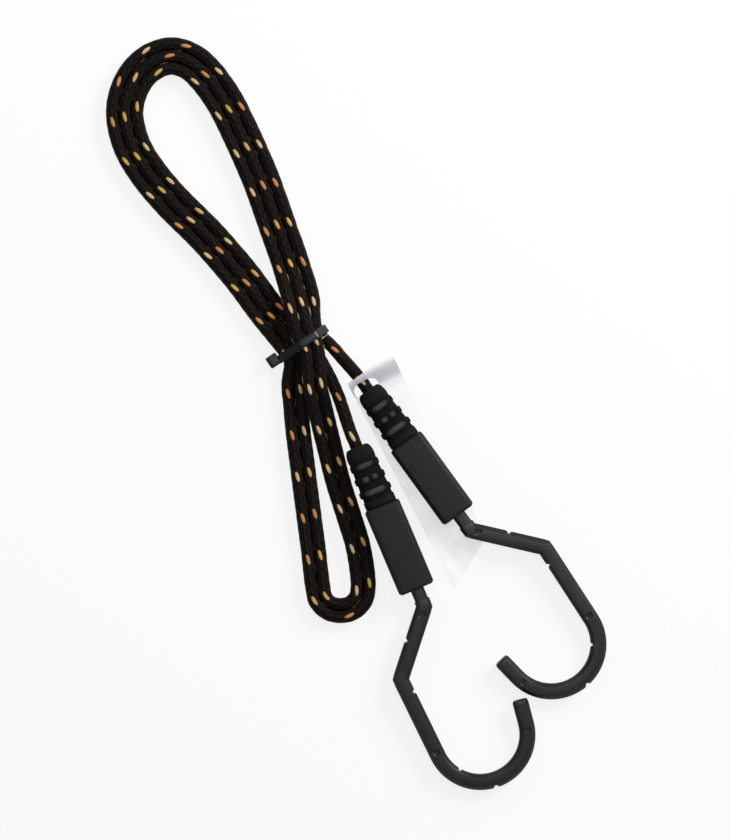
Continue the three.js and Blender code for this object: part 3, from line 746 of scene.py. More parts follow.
def braided_tube(name, route, start, end, radius=DRAWN_RADIUS):
    """A hollow braided cover along part of a route; its UV map holds turns round and mm along."""
    around = np.arange(TUBE_SIDES) / TUBE_SIDES + HALF_ROW

    def outer_radius(s):
        return radius + RELIEF_DEPTH * (grain_height(around, s + BRAID_PHASE) - MIDDLE_HEIGHT)

    inner_radius = np.full(TUBE_SIDES, CORD_RADIUS - SHEATH_WALL)
    at = even_lengths(start, end, RING_STEP)
    inner_at = even_lengths(start, end, INNER_STEP)[::-1]
    outer = rings_on(route, at, outer_radius, TUBE_SIDES)
    inner = rings_on(route, inner_at, lambda s: inner_radius, TUBE_SIDES)
    piece = skin_piece(name, outer + inner, BRAID, joined=True, sharp_angle=80)
    stations = np.concatenate((at, inner_at)) + BRAID_PHASE
    uv = []
    for here, there in zip(stations, np.roll(stations, -1)):
        for low in around:
            high = low + 1 / TUBE_SIDES
            uv += [(low, here), (low, there), (high, there), (high, here)]
    layer = piece.data.uv_layers.new(name="UVMap")
    layer.data.foreach_set("uv", np.array(uv).ravel())
    piece.data.transform(Matrix.Scale(MM, 4))
    return piece


def rubber_core(name, route, start, end):
    """The bundle of rubber strands inside the cover: a lobed tube, one lobe to a strand."""
    turn = np.arange(CORE_SIDES) * math.pi * CORE_LOBES / CORE_SIDES
    circle = CORE_RADIUS * (1 - LOBE_DEPTH * np.abs(np.cos(turn)))
    rings = rings_on(route, even_lengths(start, end, INNER_STEP), lambda s: circle, CORE_SIDES)
    return skin_piece(name, rings, LATEX, matrix=Matrix.Scale(MM, 4))


def cord_stretch(name, route, start, stop, radius=DRAWN_RADIUS):
    """Cover and core of one stretch of the cord, in the places of its two solids."""
    cover = braided_tube(f"braided_cord_{name}", route, start, stop, radius)
    core = rubber_core(f"rubber_core_{name}", route, start, stop)
    for piece, part, slot in ((cover, "sheath", "braided_sheath"), (core, "core", "latex_core")):
        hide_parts(f"cord_{name}_{part}")
    return cover, core


def free_cord(cover, core, route, start, stop, step):
    """Works out a stretch's route in metres as a path, and its length, and keeps neither."""
    path = [Vector(p) * MM for p in route.at(even_lengths(start, stop, step))]
    (stop - start) * MM


hank_reach = (HANK_START + GAP / 2, HANK_END - GAP / 2)
hank = cord_stretch("hank", CORD, *hank_reach)
for piece in hank:
    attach(piece, "hank")
free_cord(*hank, CORD, *hank_reach, 3.0)
print("hank cover has", len(hank[0].data.polygons), "faces")

# %% [markdown]
# ## The free ends
# Each end of the cord bends when its grip is lifted; here it is a stretch of its own between the hank
# and the grip. It reaches a little way into the boot, where the tail takes over: the last stretch of
# cord, held in the boot and in the crimped sleeve.

# %% Cord ends and tails
INTO_BOOT = 8.0
BEND_LENGTH = 15.0
SLEEVE_END, SLEEVE_LIP, TAIL_POINTS = -29.7, 1.5, 60


def cord_end(end):
    inside = [mouth_point(end, -d) for d in np.arange(INTO_BOOT, 0, -0.5)]
    route = Route(np.vstack((inside, CORD.line if end == "a" else CORD.line[::-1])))
    stop = INTO_BOOT - GAP / 2 + (HANK_START if end == "a" else CORD.length - HANK_END)
    pieces = cord_stretch(f"end_{end}", route, 0, stop)
    bend_start = Vector(route.at([INTO_BOOT + BEND_LENGTH])[0]) * MM
    for piece in pieces:
        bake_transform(piece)
    free_cord(*pieces, route, 0, stop, 1.0)
    print("cord end", end, "is", round(stop, 1), "mm long")


def cord_tail(end):
    """The stretch in boot and sleeve, straight along the grip's axis and squeezed a little."""
    places = np.linspace(HINGE_X + INTO_BOOT + GAP, SLEEVE_END - SLEEVE_LIP, TAIL_POINTS)
    route = Route(np.array([GRIPS[end] @ Vector((x, 0, 0)) for x in places]) / MM)
    for piece in cord_stretch(f"tail_{end}", route, 0, route.length, CORD_RADIUS):
        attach(piece, f"grip_{end}")


for end in GRIPS:
    cord_end(end)
    cord_tail(end)

# %% [markdown]
# ## The hook
# A steel rod bent to shape and moulded over with nylon. The band has eight sides and mitred corners,
# with small cuts in its edges and round marks in its faces where pins held the rod in the mould. It
# is one section carried along the bent line; at a cut the section's edge is simply moved in.

# %% Hook sizes
BAND_WIDTH, BAND_THICKNESS, BAND_CHAMFER = 8.6, 7.3, 1.9
EDGE_ROUND = 0.35
STUB, RISE, RUN, CROWN_RADIUS, TIP, BEND_RADIUS = 10.5, 41.5, 46.0, 25.5, 13.0, 6.0
RISE_ANGLE, RUN_ANGLE, CROWN_TURN = math.radians(41), math.radians(-3), math.radians(169)
NECK_DEPTH, TIP_SKIN, ROD_RADIUS = 6.0, 5.0, 2.0
NOTCH_LENGTH, NOTCH_DEPTH = 3.2, 1.25
NOTCHES = [("rise", 0.5, 1), ("run", 0.2, -1), ("crown", 0.2, -1), ("crown", 0.48, 1)]
NOTCH_SHAPE = [(-0.5, 0.0), (-0.34, 0.25), (-0.12, 1.0), (0.12, 1.0), (0.34, 0.25), (0.5, 0.0)]
PIN_DIAMETER, PIN_DEPTH = 2.4, 0.6
PIN_MARKS = [("rise", 0.11), ("run", 0.96), ("crown", 0.95)]
PIN_SIDES = 20
NECK_SHARE, NECK_LENGTH = 0.86, 7.0
CORNER_CLEAR, CORNER_SOFTENED, TIP_CLEAR = 2.2, 0.25, 2.2
STRAIGHT_STEP, CURVE_STEP, BORE_STEP = 2.5, 0.9, 2.0
HOOK_SHARP_ANGLE = 14
TIP_DOME = [(1.5, 0.985), (0.9, 0.95), (0.45, 0.89), (0.15, 0.8), (0.0, 0.68)]


def bent_line(stretches, step):
    """Points, headings and lengths along straights (size, 0) and arcs (radius, turn)."""
    points, headings, travelled = [np.zeros(2)], [0.0], [0.0]
    for size, turn in stretches:
        length = abs(turn) * size if turn else size
        count = max(2, round(length / step))
        chord = 2 * size * math.sin(abs(turn) / count / 2) if turn else length / count
        for _ in range(count):
            points.append(points[-1] + chord * compass(headings[-1] + turn / count / 2))
            headings.append(headings[-1] + turn / count)
            travelled.append(travelled[-1] + length / count)
    return np.array(points), np.array(headings), np.array(travelled)


def band_section(share=1.0):
    """The eight-sided section with slightly round edges."""
    x, y, cut = BAND_WIDTH * share / 2, BAND_THICKNESS * share / 2, BAND_CHAMFER * share
    corners = [
        (x, -y + cut), (x, y - cut), (x - cut, y), (-x + cut, y),
        (-x, y - cut), (-x, -y + cut), (-x + cut, -y), (x - cut, -y),
    ]
    return rounded_outline(corners, EDGE_ROUND)


class HookPlan:
    """The hook's outside in plan: straights with sharp corners, then the crown and the tip."""

    def __init__(self):
        first = np.array((STUB, 0.0))
        second = first + RISE * compass(RISE_ANGLE)
        self.corners = [(first, 0.0, RISE_ANGLE), (second, RISE_ANGLE, RUN_ANGLE)]
        self.straights = {"rise": (first, RISE_ANGLE), "run": (second, RUN_ANGLE)}
        self.length = {"rise": RISE, "run": RUN, "crown": CROWN_RADIUS * CROWN_TURN}
        curve, turned, self.travelled = bent_line([(CROWN_RADIUS, -CROWN_TURN), (TIP, 0)], 0.8)
        c, s = compass(RUN_ANGLE)
        self.curve = second + RUN * compass(RUN_ANGLE) + curve @ np.array(((c, s), (-s, c)))
        self.turned = turned + RUN_ANGLE

    def at(self, stretch, distance):
        """Place and heading at a distance along a stretch; the tip follows on the crown."""
        if stretch in self.straights:
            start, heading = self.straights[stretch]
            return start + distance * compass(heading), heading
        x, y, heading = (np.interp(distance, self.travelled, v) for v in (*self.curve.T, self.turned))
        return np.array((x, y)), heading


PLAN = HookPlan()


def band_ring(place, heading, section):
    return ring_across(np.append(place, 0.0), np.append(compass(heading), 0.0), section)


def cut_in(section, side, depth):
    """The section with one of its edges moved in."""
    moved = section.copy()
    moved[:, 0] = np.minimum(section[:, 0] * side, BAND_WIDTH / 2 - depth) * side
    return moved


def stretch_rings(stretch, start, stop, section):
    """Rings along part of one stretch, closer together at a cut, with the cuts made."""
    at = list(np.arange(start, stop, STRAIGHT_STEP if stretch in PLAN.straights else CURVE_STEP))
    at.append(stop)
    cuts = [(share * PLAN.length[stretch], side) for name, share, side in NOTCHES if name == stretch]
    for middle, side in cuts:
        at = [s for s in at if abs(s - middle) > NOTCH_LENGTH / 2 + 0.2]
        at += [middle + share * NOTCH_LENGTH for share, _ in NOTCH_SHAPE]
    rings = []
    for s in sorted(at):
        cut = section
        for middle, side in cuts:
            share = (s - middle) / NOTCH_LENGTH
            if abs(share) < 0.49:
                cut = cut_in(section, -side, np.interp(share, *zip(*NOTCH_SHAPE)) * NOTCH_DEPTH)
        rings.append(band_ring(*PLAN.at(stretch, s), cut))
    return rings


def mitre_ring(corner, section):
    """The ring in the plane of a corner, its outer side a little less than sharp."""
    place, before, after = corner
    half_turn = (after - before) / 2
    stretched = section * (1 / math.cos(half_turn), 1.0)
    outer = stretched[:, 0] * np.sign(half_turn) > 0
    stretched[outer, 0] -= np.sign(half_turn) * CORNER_SOFTENED
    return band_ring(place, before + half_turn, stretched)


def hook_outside():
    section, small = band_section(), band_section(NECK_SHARE)
    neck = [(-NECK_DEPTH, small), (0.0, small), (NECK_LENGTH - 0.4, small)]
    collar = [
        (NECK_LENGTH - 0.3, band_section((1 + NECK_SHARE) / 2)),
        (NECK_LENGTH, section * 0.98), (NECK_LENGTH + 0.4, section)]
    rings = [band_ring((x, 0), 0.0, outline) for x, outline in neck + collar]
    rings.append(mitre_ring(PLAN.corners[0], section))
    rings += stretch_rings("rise", CORNER_CLEAR, RISE - CORNER_CLEAR, section)
    rings.append(mitre_ring(PLAN.corners[1], section))
    rings += stretch_rings("run", CORNER_CLEAR, RUN - 0.5, section)
    end = PLAN.length["crown"] + TIP
    rings += stretch_rings("crown", 0.0, end - TIP_CLEAR, section)
    for back, share in TIP_DOME:
        rings.append(band_ring(*PLAN.at("crown", end - back), section * share))
    return rings


def hook_bore():
    """The channel that the rod fills, from its blind end back to the neck."""
    first_trim = BEND_RADIUS * math.tan(RISE_ANGLE / 2)
    second_trim = BEND_RADIUS * math.tan((RISE_ANGLE - RUN_ANGLE) / 2)
    points, headings, _ = bent_line([
        (STUB + NECK_DEPTH - first_trim, 0), (BEND_RADIUS, RISE_ANGLE),
        (RISE - first_trim - second_trim, 0), (BEND_RADIUS, RUN_ANGLE - RISE_ANGLE),
        (RUN - second_trim, 0), (CROWN_RADIUS, -CROWN_TURN), (TIP - TIP_SKIN, 0),
    ], BORE_STEP)
    circle = round_outline(ROD_RADIUS + GAP, len(band_section()))
    places = points - (NECK_DEPTH, 0)
    return [band_ring(p, h, circle) for p, h in zip(places[::-1], headings[::-1])]


def hook_cover(end):
    rings = hook_bore() + hook_outside()
    piece = skin_piece(f"hook_{end}", rings, HOOK_PLASTIC, sharp_angle=HOOK_SHARP_ANGLE)
    floor, above = BAND_THICKNESS / 2 - PIN_DEPTH, BAND_THICKNESS / 2 + 1
    pins = []
    for stretch, share in PIN_MARKS:
        place, _ = PLAN.at(stretch, share * PLAN.length[stretch])
        outline = round_outline(PIN_DIAMETER / 2, PIN_SIDES) + place
        pins.append(prism("pin", outline, floor, above, HOOK_PLASTIC))
        pins.append(prism("pin", outline, -above, -floor, HOOK_PLASTIC))
    cut_away(piece, join_pieces("pins", pins, HOOK_PLASTIC))
    fit_grip(piece, end, "hook_cover")
    print("hook", end, "has", len(piece.data.polygons), "faces")


for end in GRIPS:
    hook_cover(end)

# %% [markdown]
# ## The grip
# Two moulded half shells, screwed or welded together over the rod's head, the boot's flange and the
# crimped sleeve. The outside is a plain block with bevelled edges; the parting line runs round its
# sides. The pockets inside are turned shapes taken out of each half.

# %% Grip shells
EDGE_CHAMFER, END_CHAMFER, SECTION_ROUND = 2.2, 1.2, 0.28
END_BEVEL = [
    (0.0, END_CHAMFER + 0.1), (0.12, END_CHAMFER - 0.1), (END_CHAMFER - 0.15, 0.12),
    (END_CHAMFER + 0.25, 0),
]
FLANGE_START, FLANGE_END = -46.0, -44.0
SPIGOT_RADIUS, FLANGE_RADIUS, SLEEVE_RADIUS = 4.85, 5.85, 4.65
HEAD_START, HEAD_END, HEAD_RADIUS = -26.0, -22.0, 4.0
OVERRUN, SHELL_SHARP_ANGLE = 2.0, 12


def turned_rings(profile, sides=32):
    """Rings about the grip's axis, from pairs of place and radius."""
    return [ring_on_axis(x, round_outline(r, sides)) for x, r in profile]


def grip_pockets():
    """The spaces for the boot's flange and the sleeve, for the rod and its head, and for the neck."""
    spigot, flange, sleeve = SPIGOT_RADIUS + GAP, FLANGE_RADIUS + GAP, SLEEVE_RADIUS + GAP
    head, rod = HEAD_RADIUS + GAP, ROD_RADIUS + GAP
    back = turned_rings([
        (-GRIP_LENGTH - OVERRUN, spigot), (FLANGE_START - GAP, spigot), (FLANGE_START - GAP, flange),
        (FLANGE_END + GAP, flange), (FLANGE_END + GAP, sleeve), (SLEEVE_END + 2 * GAP, sleeve),
    ])
    front = turned_rings([
        (HEAD_START - GAP, head), (HEAD_END + GAP, head), (HEAD_END + GAP, rod), (-NECK_DEPTH + GAP, rod),
    ])
    share = NECK_SHARE + 2 * GAP / BAND_THICKNESS
    neck = [band_ring((x, 0), 0.0, band_section(share)) for x in (-NECK_DEPTH - GAP, OVERRUN)]
    return [back, front, neck]


def half_outline(inset):
    """Half of the block's section above the parting line, all corners a little round."""
    side, top = GRIP_WIDTH / 2, GRIP_THICKNESS / 2
    right = [
        (side - inset, GAP / 2), (side - inset, top - EDGE_CHAMFER), (side - EDGE_CHAMFER, top - inset)]
    left = [(-x, z) for x, z in reversed(right)]
    return rounded_outline(right + left, SECTION_ROUND)


def grip_shell(end, face):
    name = "upper" if face > 0 else "lower"
    stations = [(x - GRIP_LENGTH, inset) for x, inset in END_BEVEL]
    stations += [(-x, inset) for x, inset in reversed(END_BEVEL)]
    rings = [ring_on_axis(x, half_outline(inset) * (1, face)) for x, inset in stations]
    piece = skin_piece(f"grip_shell_{name}_{end}", rings, GRIP_PLASTIC)
    for pocket in grip_pockets():
        cut_away(piece, skin_piece("pocket", pocket, GRIP_PLASTIC))
    piece.data.set_sharp_from_angle(angle=math.radians(SHELL_SHARP_ANGLE))
    fit_grip(piece, end, f"grip_{name}")
    return piece


for end in GRIPS:
    for face in (1, -1):
        shell = grip_shell(end, face)
    print("grip", end, "lower shell has", len(shell.data.polygons), "faces")

# %% [markdown]
# ## The boot
# Soft rubber that keeps the cord from kinking where it leaves the grip. It swells from a round nose
# to nearly the block's width and carries three bars; the middle one is cut into lugs on its flat
# sides, as the highlights in it show. A flange behind its neck is held between the shells.

# %% Boot
BAR_COUNT, BAR_PITCH, BAR_LENGTH, LAST_BAR_BACK = 3, 7.4, 3.6, 8.6
BORE_RADIUS = CORD_RADIUS + GAP
NOSE_SIZE, DOME_LENGTH = 10.4, 6.0
BODY_START, BODY_END = (14.6, 9.8), (16.4, 10.6)
BAR_START, BAR_END = (16.3, 12.8), (18.2, 13.8)
BOOT_SIDES, BAR_SQUARE = 72, 2.7
DOME_SHARES = (0.0, 0.03, 0.1, 0.22, 0.38, 0.56, 0.76, 1.0)
HALF_BAR = [(0.5, 0.0), (0.48, 0.45), (0.42, 0.78), (0.28, 0.96), (0.0, 1.0)]
REAR_COLLAR = [(4.2, 0.0), (3.9, 0.5), (0.5, 0.6), (0.0, 0.3)]
LUG_OFFSET, LUG_HALF, LUG_SLOPE, FLAT_SHARE = 2.9, 1.35, 0.5, 0.42
# NOSE_SHINE is the nose's share of the painted highlight on the boot.
NOSE_SHINE = 0.08


def boot_ring(x, size, square, lugs=None):
    """A ring between an oval and a box; lugs is the height that stays between the lugs."""
    outline = squared_oval(np.array(size) / 2, 2 / square, BOOT_SIDES)
    if lugs is not None:
        across, height = np.abs(outline[:, 0]), outline[:, 1]
        low = np.clip((np.abs(across - LUG_OFFSET) - LUG_HALF) / LUG_SLOPE, 0, 1)
        cut = height * (1 - low) + np.clip(height, -lugs, lugs) * low
        outline[:, 1] = np.where(across < size[0] * FLAT_SHARE, cut, height)
    return ring_on_axis(x, outline)


def between(low, high, share):
    return np.array(low) + (np.array(high) - np.array(low)) * share


def boot_rings():
    rings = turned_rings([(MOUTH_X + 0.5, BORE_RADIUS), (MOUTH_X, BORE_RADIUS + 0.5)], BOOT_SIDES)
    for share in DOME_SHARES:
        swell = math.sqrt(1 - (1 - share) ** 2)
        size = between((NOSE_SIZE, NOSE_SIZE), between(BODY_START, BAR_START, 0.5), swell)
        rings.append(boot_ring(MOUTH_X + DOME_LENGTH * share, size, 2 + 0.5 * swell))
    for k in range(BAR_COUNT):
        centre = -GRIP_LENGTH - LAST_BAR_BACK - (BAR_COUNT - 1 - k) * BAR_PITCH
        body = between(BODY_START, BODY_END, (k + 0.5) / BAR_COUNT)
        bar = between(BAR_START, BAR_END, k / (BAR_COUNT - 1))
        for share, rise in [(-x, rise) for x, rise in HALF_BAR] + HALF_BAR[-2::-1]:
            lugs = body[1] / 2 if k == 1 and rise > 0 else None
            x = centre + share * BAR_LENGTH
            rings.append(boot_ring(x, between(body, bar, rise), BAR_SQUARE, lugs))
    rear = -GRIP_LENGTH - GAP
    for back, rise in REAR_COLLAR:
        rings.append(boot_ring(rear - back, between(BODY_END, BAR_END, rise), BAR_SQUARE))
    return rings + turned_rings([
        (rear, SPIGOT_RADIUS), (FLANGE_START, SPIGOT_RADIUS), (FLANGE_START, FLANGE_RADIUS),
        (FLANGE_END, FLANGE_RADIUS), (FLANGE_END, BORE_RADIUS),
    ], BOOT_SIDES)


def crest_shares(points):
    """How far each point of the boot stands up on a bar: 0 in a groove, 1 on a crest."""
    x, _, z = points.T
    bars_start, bars_end = MOUTH_X + DOME_LENGTH, -GRIP_LENGTH - LAST_BAR_BACK / 2
    share = np.clip((x - bars_start) / (BOOT_LENGTH - DOME_LENGTH), 0, 1)
    groove = between(BODY_START[1], BODY_END[1], share) / 2
    bar = between(BAR_START[1], BAR_END[1], share) / 2
    risen = np.clip((np.abs(z) - groove) / (bar - groove), 0, 1)
    # These shares set the painted highlight on the crests and the painted shade in the grooves; the nose
    # gets a little of the painted highlight.
    return np.where((x > bars_start) & (x < bars_end), np.clip(risen * 2 - 0.9, 0, 1), NOSE_SHINE)


def flex_boot(end):
    rings = boot_rings()
    piece = skin_piece(f"flex_boot_{end}_ribbed", rings, BOOT_RUBBER, joined=True)
    crest = piece.data.attributes.new("crest", "FLOAT", "POINT")
    crest.data.foreach_set("value", crest_shares(np.concatenate(rings)))
    fit_grip(piece, end, "flex_boot")
    print("boot", end, "has", len(piece.data.polygons), "faces")


for end in GRIPS:
    flex_boot(end)

# %% [markdown]
# ## The cable tie
# A nylon strap pulled tight round the six strands, its head at the left and its tail cut off flush.
# The strap follows the hull of the strands, so its line is worked out from their places. The teeth
# along its inner face are the one thing here that repeats along a path, so Geometry Nodes lays them.

# %% Cable tie
STRAP_WIDTH, STRAP_ROUND, STRAP_STEPS = 4.6, 0.3, 140
STRAP_INNER = DRAWN_RADIUS + GAP
STRAP_OUTER = STRAP_INNER + TIE_THICKNESS
HEAD_SIZE, HEAD_ROUND, HEAD_TOP = (6.4, 6.6), 0.8, 2.7
HEAD_LEVELS = [(-2.7, 0.7), (-2.55, 0.25), (-2.1, 0.0), (1.8, 0.0), (2.45, 0.3), (HEAD_TOP, 0.9)]
HEAD_SINK, HEAD_LOWERED, HEAD_BACK = 0.6, 0.8, 1.4
MOUTH_SIZE, TAIL_SIZE, TAIL_SUNK = (1.9, 5.0), (1.1, STRAP_WIDTH), 0.7
MOUTH_LEVELS = [(-0.8, 0.0), (0.8, 0.0)]
TOOTH_PITCH, TOOTH_SIZE, TOOTH_SUNK = 1.15, (0.5, 2.9, 0.28), 0.12
TOOTH_ARC, TOOTH_LINE_POINTS, TIE_SHARP_ANGLE = (200, 520), 150, 35
HELD = [
    np.array((slot * SLOT_PITCH, WAIST_HEIGHT + layer * LANE_RISE))
    for slot, layer in [STRANDS["end_a"], *STRANDS["left"], *STRANDS["right"], STRANDS["end_b"]]]


def tie_place(across, height, along):
    """A point of the tie: across the strands, above the floor and along the strands."""
    x, y = WAIST + across * WAIST_ACROSS + along * WAIST_ALONG
    return np.array((x, y, height))


def hull_point(angle, radius):
    """The point of the strands' hull that faces an angle, that far from the strand's middle."""
    normal = compass(angle)
    return max(HELD, key=lambda middle: middle @ normal) + normal * radius


def strap_piece():
    """The strap's section, carried all the way round the strands' hull."""
    half = STRAP_WIDTH / 2
    corners = [(STRAP_INNER, -half), (STRAP_OUTER, -half), (STRAP_OUTER, half), (STRAP_INNER, half)]
    section = rounded_outline(corners, STRAP_ROUND, 2)
    rings = []
    for k in range(STRAP_STEPS):
        angle = 2 * math.pi * k / STRAP_STEPS
        rings.append(np.array([tie_place(*hull_point(angle, r), along) for r, along in section]))
    return skin_piece("tie_strap", rings, TIE_NYLON, joined=True)


def tie_block(name, middle, size, levels, rounding=0.0):
    """A block turned to the tie's directions; each level has a height and an inset."""
    rings = []
    for z, inset in levels:
        x, y = size[0] / 2 - inset, size[1] / 2 - inset
        outline = [(x, -y), (x, y), (-x, y), (-x, -y)]
        if rounding:
            outline = rounded_outline(outline, rounding, 4)
        rings.append(np.array([
            middle + (*(u * WAIST_ACROSS - v * WAIST_ALONG), z) for u, v in outline]))
    return skin_piece(name, rings, TIE_NYLON)


outermost = STRANDS["left"][0][0] * SLOT_PITCH - STRAP_OUTER
head_middle = tie_place(
    outermost + HEAD_SINK - HEAD_SIZE[0] / 2, WAIST_HEIGHT - HEAD_LOWERED, -HEAD_BACK)
head = tie_block("tie_head", head_middle, HEAD_SIZE, HEAD_LEVELS, HEAD_ROUND)
cut_away(head, tie_block("tie_mouth", head_middle + (0, 0, HEAD_TOP), MOUTH_SIZE, MOUTH_LEVELS))
tail = tie_block("tie_tail", head_middle + (0, 0, HEAD_TOP - TAIL_SUNK), TAIL_SIZE, MOUTH_LEVELS)


def tooth_row():
    """Teeth along the strap's inner face, laid by Geometry Nodes on the hull's line."""
    angles = np.linspace(*np.radians(TOOTH_ARC), TOOTH_LINE_POINTS)
    line = [tie_place(*hull_point(angle, STRAP_INNER + TOOTH_SUNK), 0.0) for angle in angles]
    mesh = bpy.data.meshes.new("tooth_line")
    mesh.from_pydata([tuple(p) for p in line], [(k, k + 1) for k in range(len(line) - 1)], [])
    teeth = bpy.data.objects.new("tie_teeth", mesh)
    bpy.context.scene.collection.objects.link(teeth)
    tree = bpy.data.node_groups.new("teeth_on_line", "GeometryNodeTree")
    named_inputs = {
        "Pitch": ("Float", TOOTH_PITCH), "Tooth size": ("Vector", TOOTH_SIZE),
        "Across": ("Vector", (*WAIST_ALONG, 0.0)), "Material": ("Material", TIE_NYLON),
    }
    tree.interface.new_socket("Geometry", in_out="INPUT", socket_type="NodeSocketGeometry")
    modifier = teeth.modifiers.new("teeth", "NODES")
    values = {}
    for name, (kind, value) in named_inputs.items():
        made = tree.interface.new_socket(name, in_out="INPUT", socket_type=f"NodeSocket{kind}")
        values[made.identifier] = value
    tree.interface.new_socket("Geometry", in_out="OUTPUT", socket_type="NodeSocketGeometry")
    nodes = Nodes(tree)
    given = nodes.node("NodeGroupInput", {}, {}).socket.node.outputs
    pitch, size, across, material = (Signal(nodes, given[name]) for name in named_inputs)
    curve = nodes.node("GeometryNodeMeshToCurve", {}, {0: Signal(nodes, given["Geometry"])})
    points = nodes.node(
        "GeometryNodeResampleCurve", {"mode": "LENGTH"}, {"Curve": curve, "Length": pitch})
    cube = nodes.node("GeometryNodeMeshCube", {}, {"Size": size})
    turn = nodes.node("FunctionNodeAlignRotationToVector", {"axis": "Y"}, {"Vector": across})
    tangent = nodes.node("GeometryNodeInputTangent", {}, {})
    turn = nodes.node(
        "FunctionNodeAlignRotationToVector", {"axis": "X", "pivot_axis": "Y"},
        {"Rotation": turn, "Vector": tangent})
    laid = nodes.node(
        "GeometryNodeInstanceOnPoints", {}, {"Points": points, "Instance": cube, "Rotation": turn})
    real = nodes.node("GeometryNodeRealizeInstances", {}, {0: laid})
    paint = nodes.node("GeometryNodeSetMaterial", {}, {0: real, "Material": material})
    nodes.feed(tree.nodes.new("NodeGroupOutput").inputs[0], paint)
    modifier.node_group = tree
    for identifier, value in values.items():
        modifier[identifier] = value
    keep_result(teeth)
    print("tie has", len(teeth.data.polygons) // 6, "teeth")
    return teeth


shells = [strap_piece(), head, tail, tooth_row()]
tie = join_pieces("cable_tie_dressed", shells, TIE_NYLON, TIE_SHARP_ANGLE)
tie.data.transform(Matrix.Scale(MM, 4))
stand_in(tie, "cable_tie", "hank")

# %% [markdown]
# ## The hang tag
# A blank strip of clear film with a slanting end, threaded on the cord and lying under one grip.
# Film this thin never lies quite flat: it is a fine grid that follows the solid's line, up over the
# cord at one end, with shallow waves at the other, where nothing holds it down.

# %% Hang tag
TAG_REACH, TAG_WIDTH, TAG_THICKNESS = 119.0, 28.5, 0.35
RISE_LENGTH, TAG_OFFSET = 12.0, 6.2
HOLE_MIDDLE, HOLE_HALF, HOLE_SQUARE, HOLE_SIDES = (0.5, 0.0), (4.1, 7.1), 0.8, 40
END_SLANT, TOP_SLANT = 0.6, 0.14
FREE_START, FREE_END, WAVE_HEIGHT = 88, 104, 0.9
NEAR_SHARE, NEAR_ROWS, FAR_ROWS, FILM_COLUMNS = 0.16, 34, 55, 25
CUT_LOW, CUT_HIGH = -5.0, 30.0
TAG_HEADING = math.radians(-62.5)
TAG_HINGE = GRIPS["a"] @ Vector((HINGE_X, 0, 0)) / MM


def soft_step(low, high, value):
    share = np.clip((value - low) / (high - low), 0, 1)
    return share * share * (3 - 2 * share)


def film_height(x, y):
    """The film's middle above the floor: flat, then up over the cord near the hinge."""
    half = TAG_THICKNESS / 2
    top = 2 * (TAG_HINGE.z - half)
    reach = RISE_LENGTH / 2 + 1.5
    rise = top * soft_step(-reach, reach, -x)
    free = soft_step(FREE_START, FREE_END, x)
    wave = np.sin(x * 0.31 + y * 0.22) * 0.5 + np.sin(y * 0.55 - x * 0.13) * 0.35 + 0.9
    return half + rise + WAVE_HEIGHT * free * wave


def hang_tag():
    near = np.linspace(0, 1, NEAR_ROWS) * NEAR_SHARE
    far = np.linspace(near[-1], 1, FAR_ROWS)[1:]
    y = np.linspace(-0.5, 0.5, FILM_COLUMNS) * TAG_WIDTH + TAG_OFFSET
    from_edge = y - y[0]
    top_edge = -RISE_LENGTH / 2 - from_edge * TOP_SLANT
    low_edge = TAG_REACH - from_edge * END_SLANT
    grid = []
    for share in np.concatenate((near, far)):
        x = top_edge + (low_edge - top_edge) * share
        grid.append(np.column_stack((x, y, film_height(x, y))))
    grid = np.array(grid)
    normal = np.cross(np.gradient(grid, axis=0), np.gradient(grid, axis=1))
    normal /= np.linalg.norm(normal, axis=2)[:, :, None]
    top, bottom = grid + normal * TAG_THICKNESS / 2, grid - normal * TAG_THICKNESS / 2
    rings = [np.concatenate((upper, lower[::-1])) for upper, lower in zip(top, bottom)]
    piece = skin_piece("hang_tag_film", rings, FILM)
    hole = squared_oval(HOLE_HALF, HOLE_SQUARE, HOLE_SIDES) + HOLE_MIDDLE
    cut_away(piece, prism("tag_hole", hole, CUT_LOW, CUT_HIGH, FILM))
    turn = Matrix.Translation((TAG_HINGE.x, TAG_HINGE.y, 0)) @ Matrix.Rotation(TAG_HEADING, 4, "Z")
    piece.data.transform(Matrix.Scale(MM, 4) @ turn)
    stand_in(piece, "hang_tag", "hank")
    print("tag has", len(piece.data.polygons), "faces")


hang_tag()

# %% [markdown]
# ## The steel inside
# The rods and the crimped sleeves are hidden once the grips are closed, and their solids are already
# right, so they are carried over and only get their steel.

# %% Steel
for end in GRIPS:
    for node in (f"hook_rod_{end}", f"cord_ferrule_{end}"):
        mesh = frame["nodes"][node].data
        mesh.materials.clear()
        mesh.materials.append(STEEL)

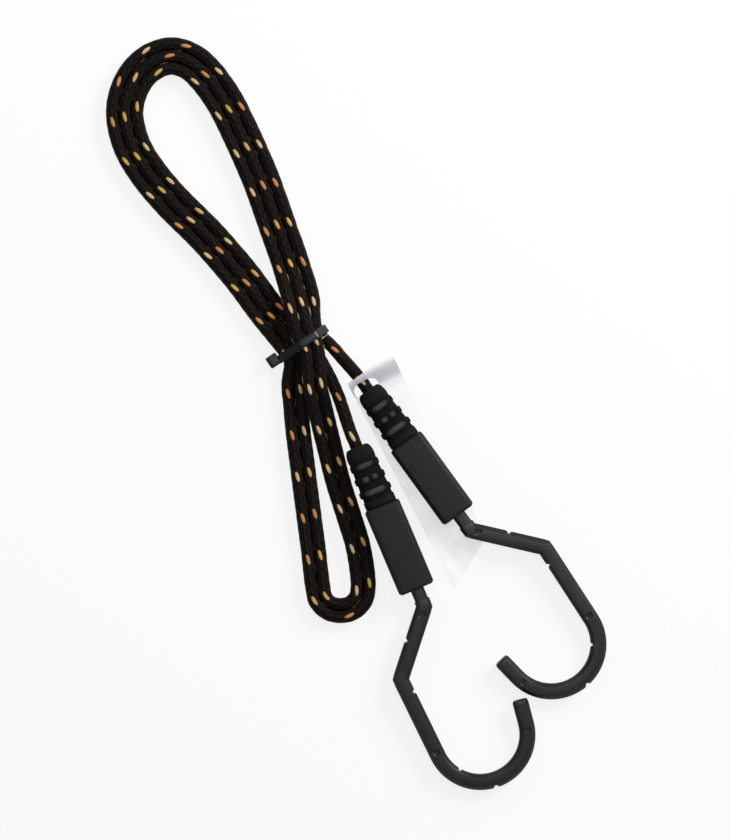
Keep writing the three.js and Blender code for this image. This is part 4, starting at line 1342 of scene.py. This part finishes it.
# %% [markdown]
# ## The floor and the light
# Floor and sky show nearly white to the camera, so that the object stands free as in a catalogue
# picture. Rays through the film see the same white, and mirrored rays see a share of it. A key lamp
# at the upper right makes the bevels turned away from it dark; two weak lamps soften its shadows.

# %% Stage
FLOOR_REACH, FLOOR_DROP, FLOOR_WHITE = 1.5, 0.0001, 0.82
STUDIO_LEVEL, LAMP_SIZE = 0.20, 0.8
LAMPS = [
    ("key", (1.05, 0.93, 0.85), 25), ("overhead", (0.1, 0.3, 1.6), 5), ("fill", (-0.5, 1.1, 0.8), 5),
]


def stage_finish():
    finish = Finish("floor")
    finish.set(Base_Color=(0.88, 0.88, 0.88), Roughness=0.9)
    white = finish.node("ShaderNodeEmission", {}, {"Color": (1.0, 1.0, 1.0), "Strength": 1.0})
    both = finish.node("ShaderNodeMixShader", {}, {0: finish.shows_background() * FLOOR_WHITE})
    finish.tree.links.new(finish.shader.outputs[0], both.socket.node.inputs[1])
    finish.tree.links.new(white.socket, both.socket.node.inputs[2])
    output = finish.tree.nodes["Material Output"]
    finish.tree.links.new(both.socket, output.inputs[0])
    return finish.material


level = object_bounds()[0].z - FLOOR_DROP
corners = [(s * FLOOR_REACH, t * FLOOR_REACH, level) for s, t in ((-1, -1), (1, -1), (1, 1), (-1, 1))]
floor = new_piece("floor", corners, [(0, 1, 2, 3)], stage_finish())

world = bpy.data.worlds.new("studio")
bpy.context.scene.world = world
world.use_nodes = True
sky = world.node_tree.nodes["Background"]
sky.inputs["Color"].default_value = (1, 1, 1, 1)
studio = Nodes(world.node_tree)
studio.feed(sky.inputs["Strength"], studio.shows_background() * (1 - STUDIO_LEVEL) + STUDIO_LEVEL)


def lamp(name, place, power):
    data = bpy.data.lights.new(name, "AREA")
    data.shape = "DISK"
    data.size = LAMP_SIZE
    data.energy = power
    light = bpy.data.objects.new(name, data)
    light.location = place
    aim = Vector((*VIEW_MIDDLE, 0)) * MM - light.location
    light.rotation_euler = aim.to_track_quat("-Z", "Y").to_euler()
    bpy.context.scene.collection.objects.link(light)


for name, place, power in LAMPS:
    lamp(name, place, power)

bpy.context.scene.view_settings.view_transform = "Standard"
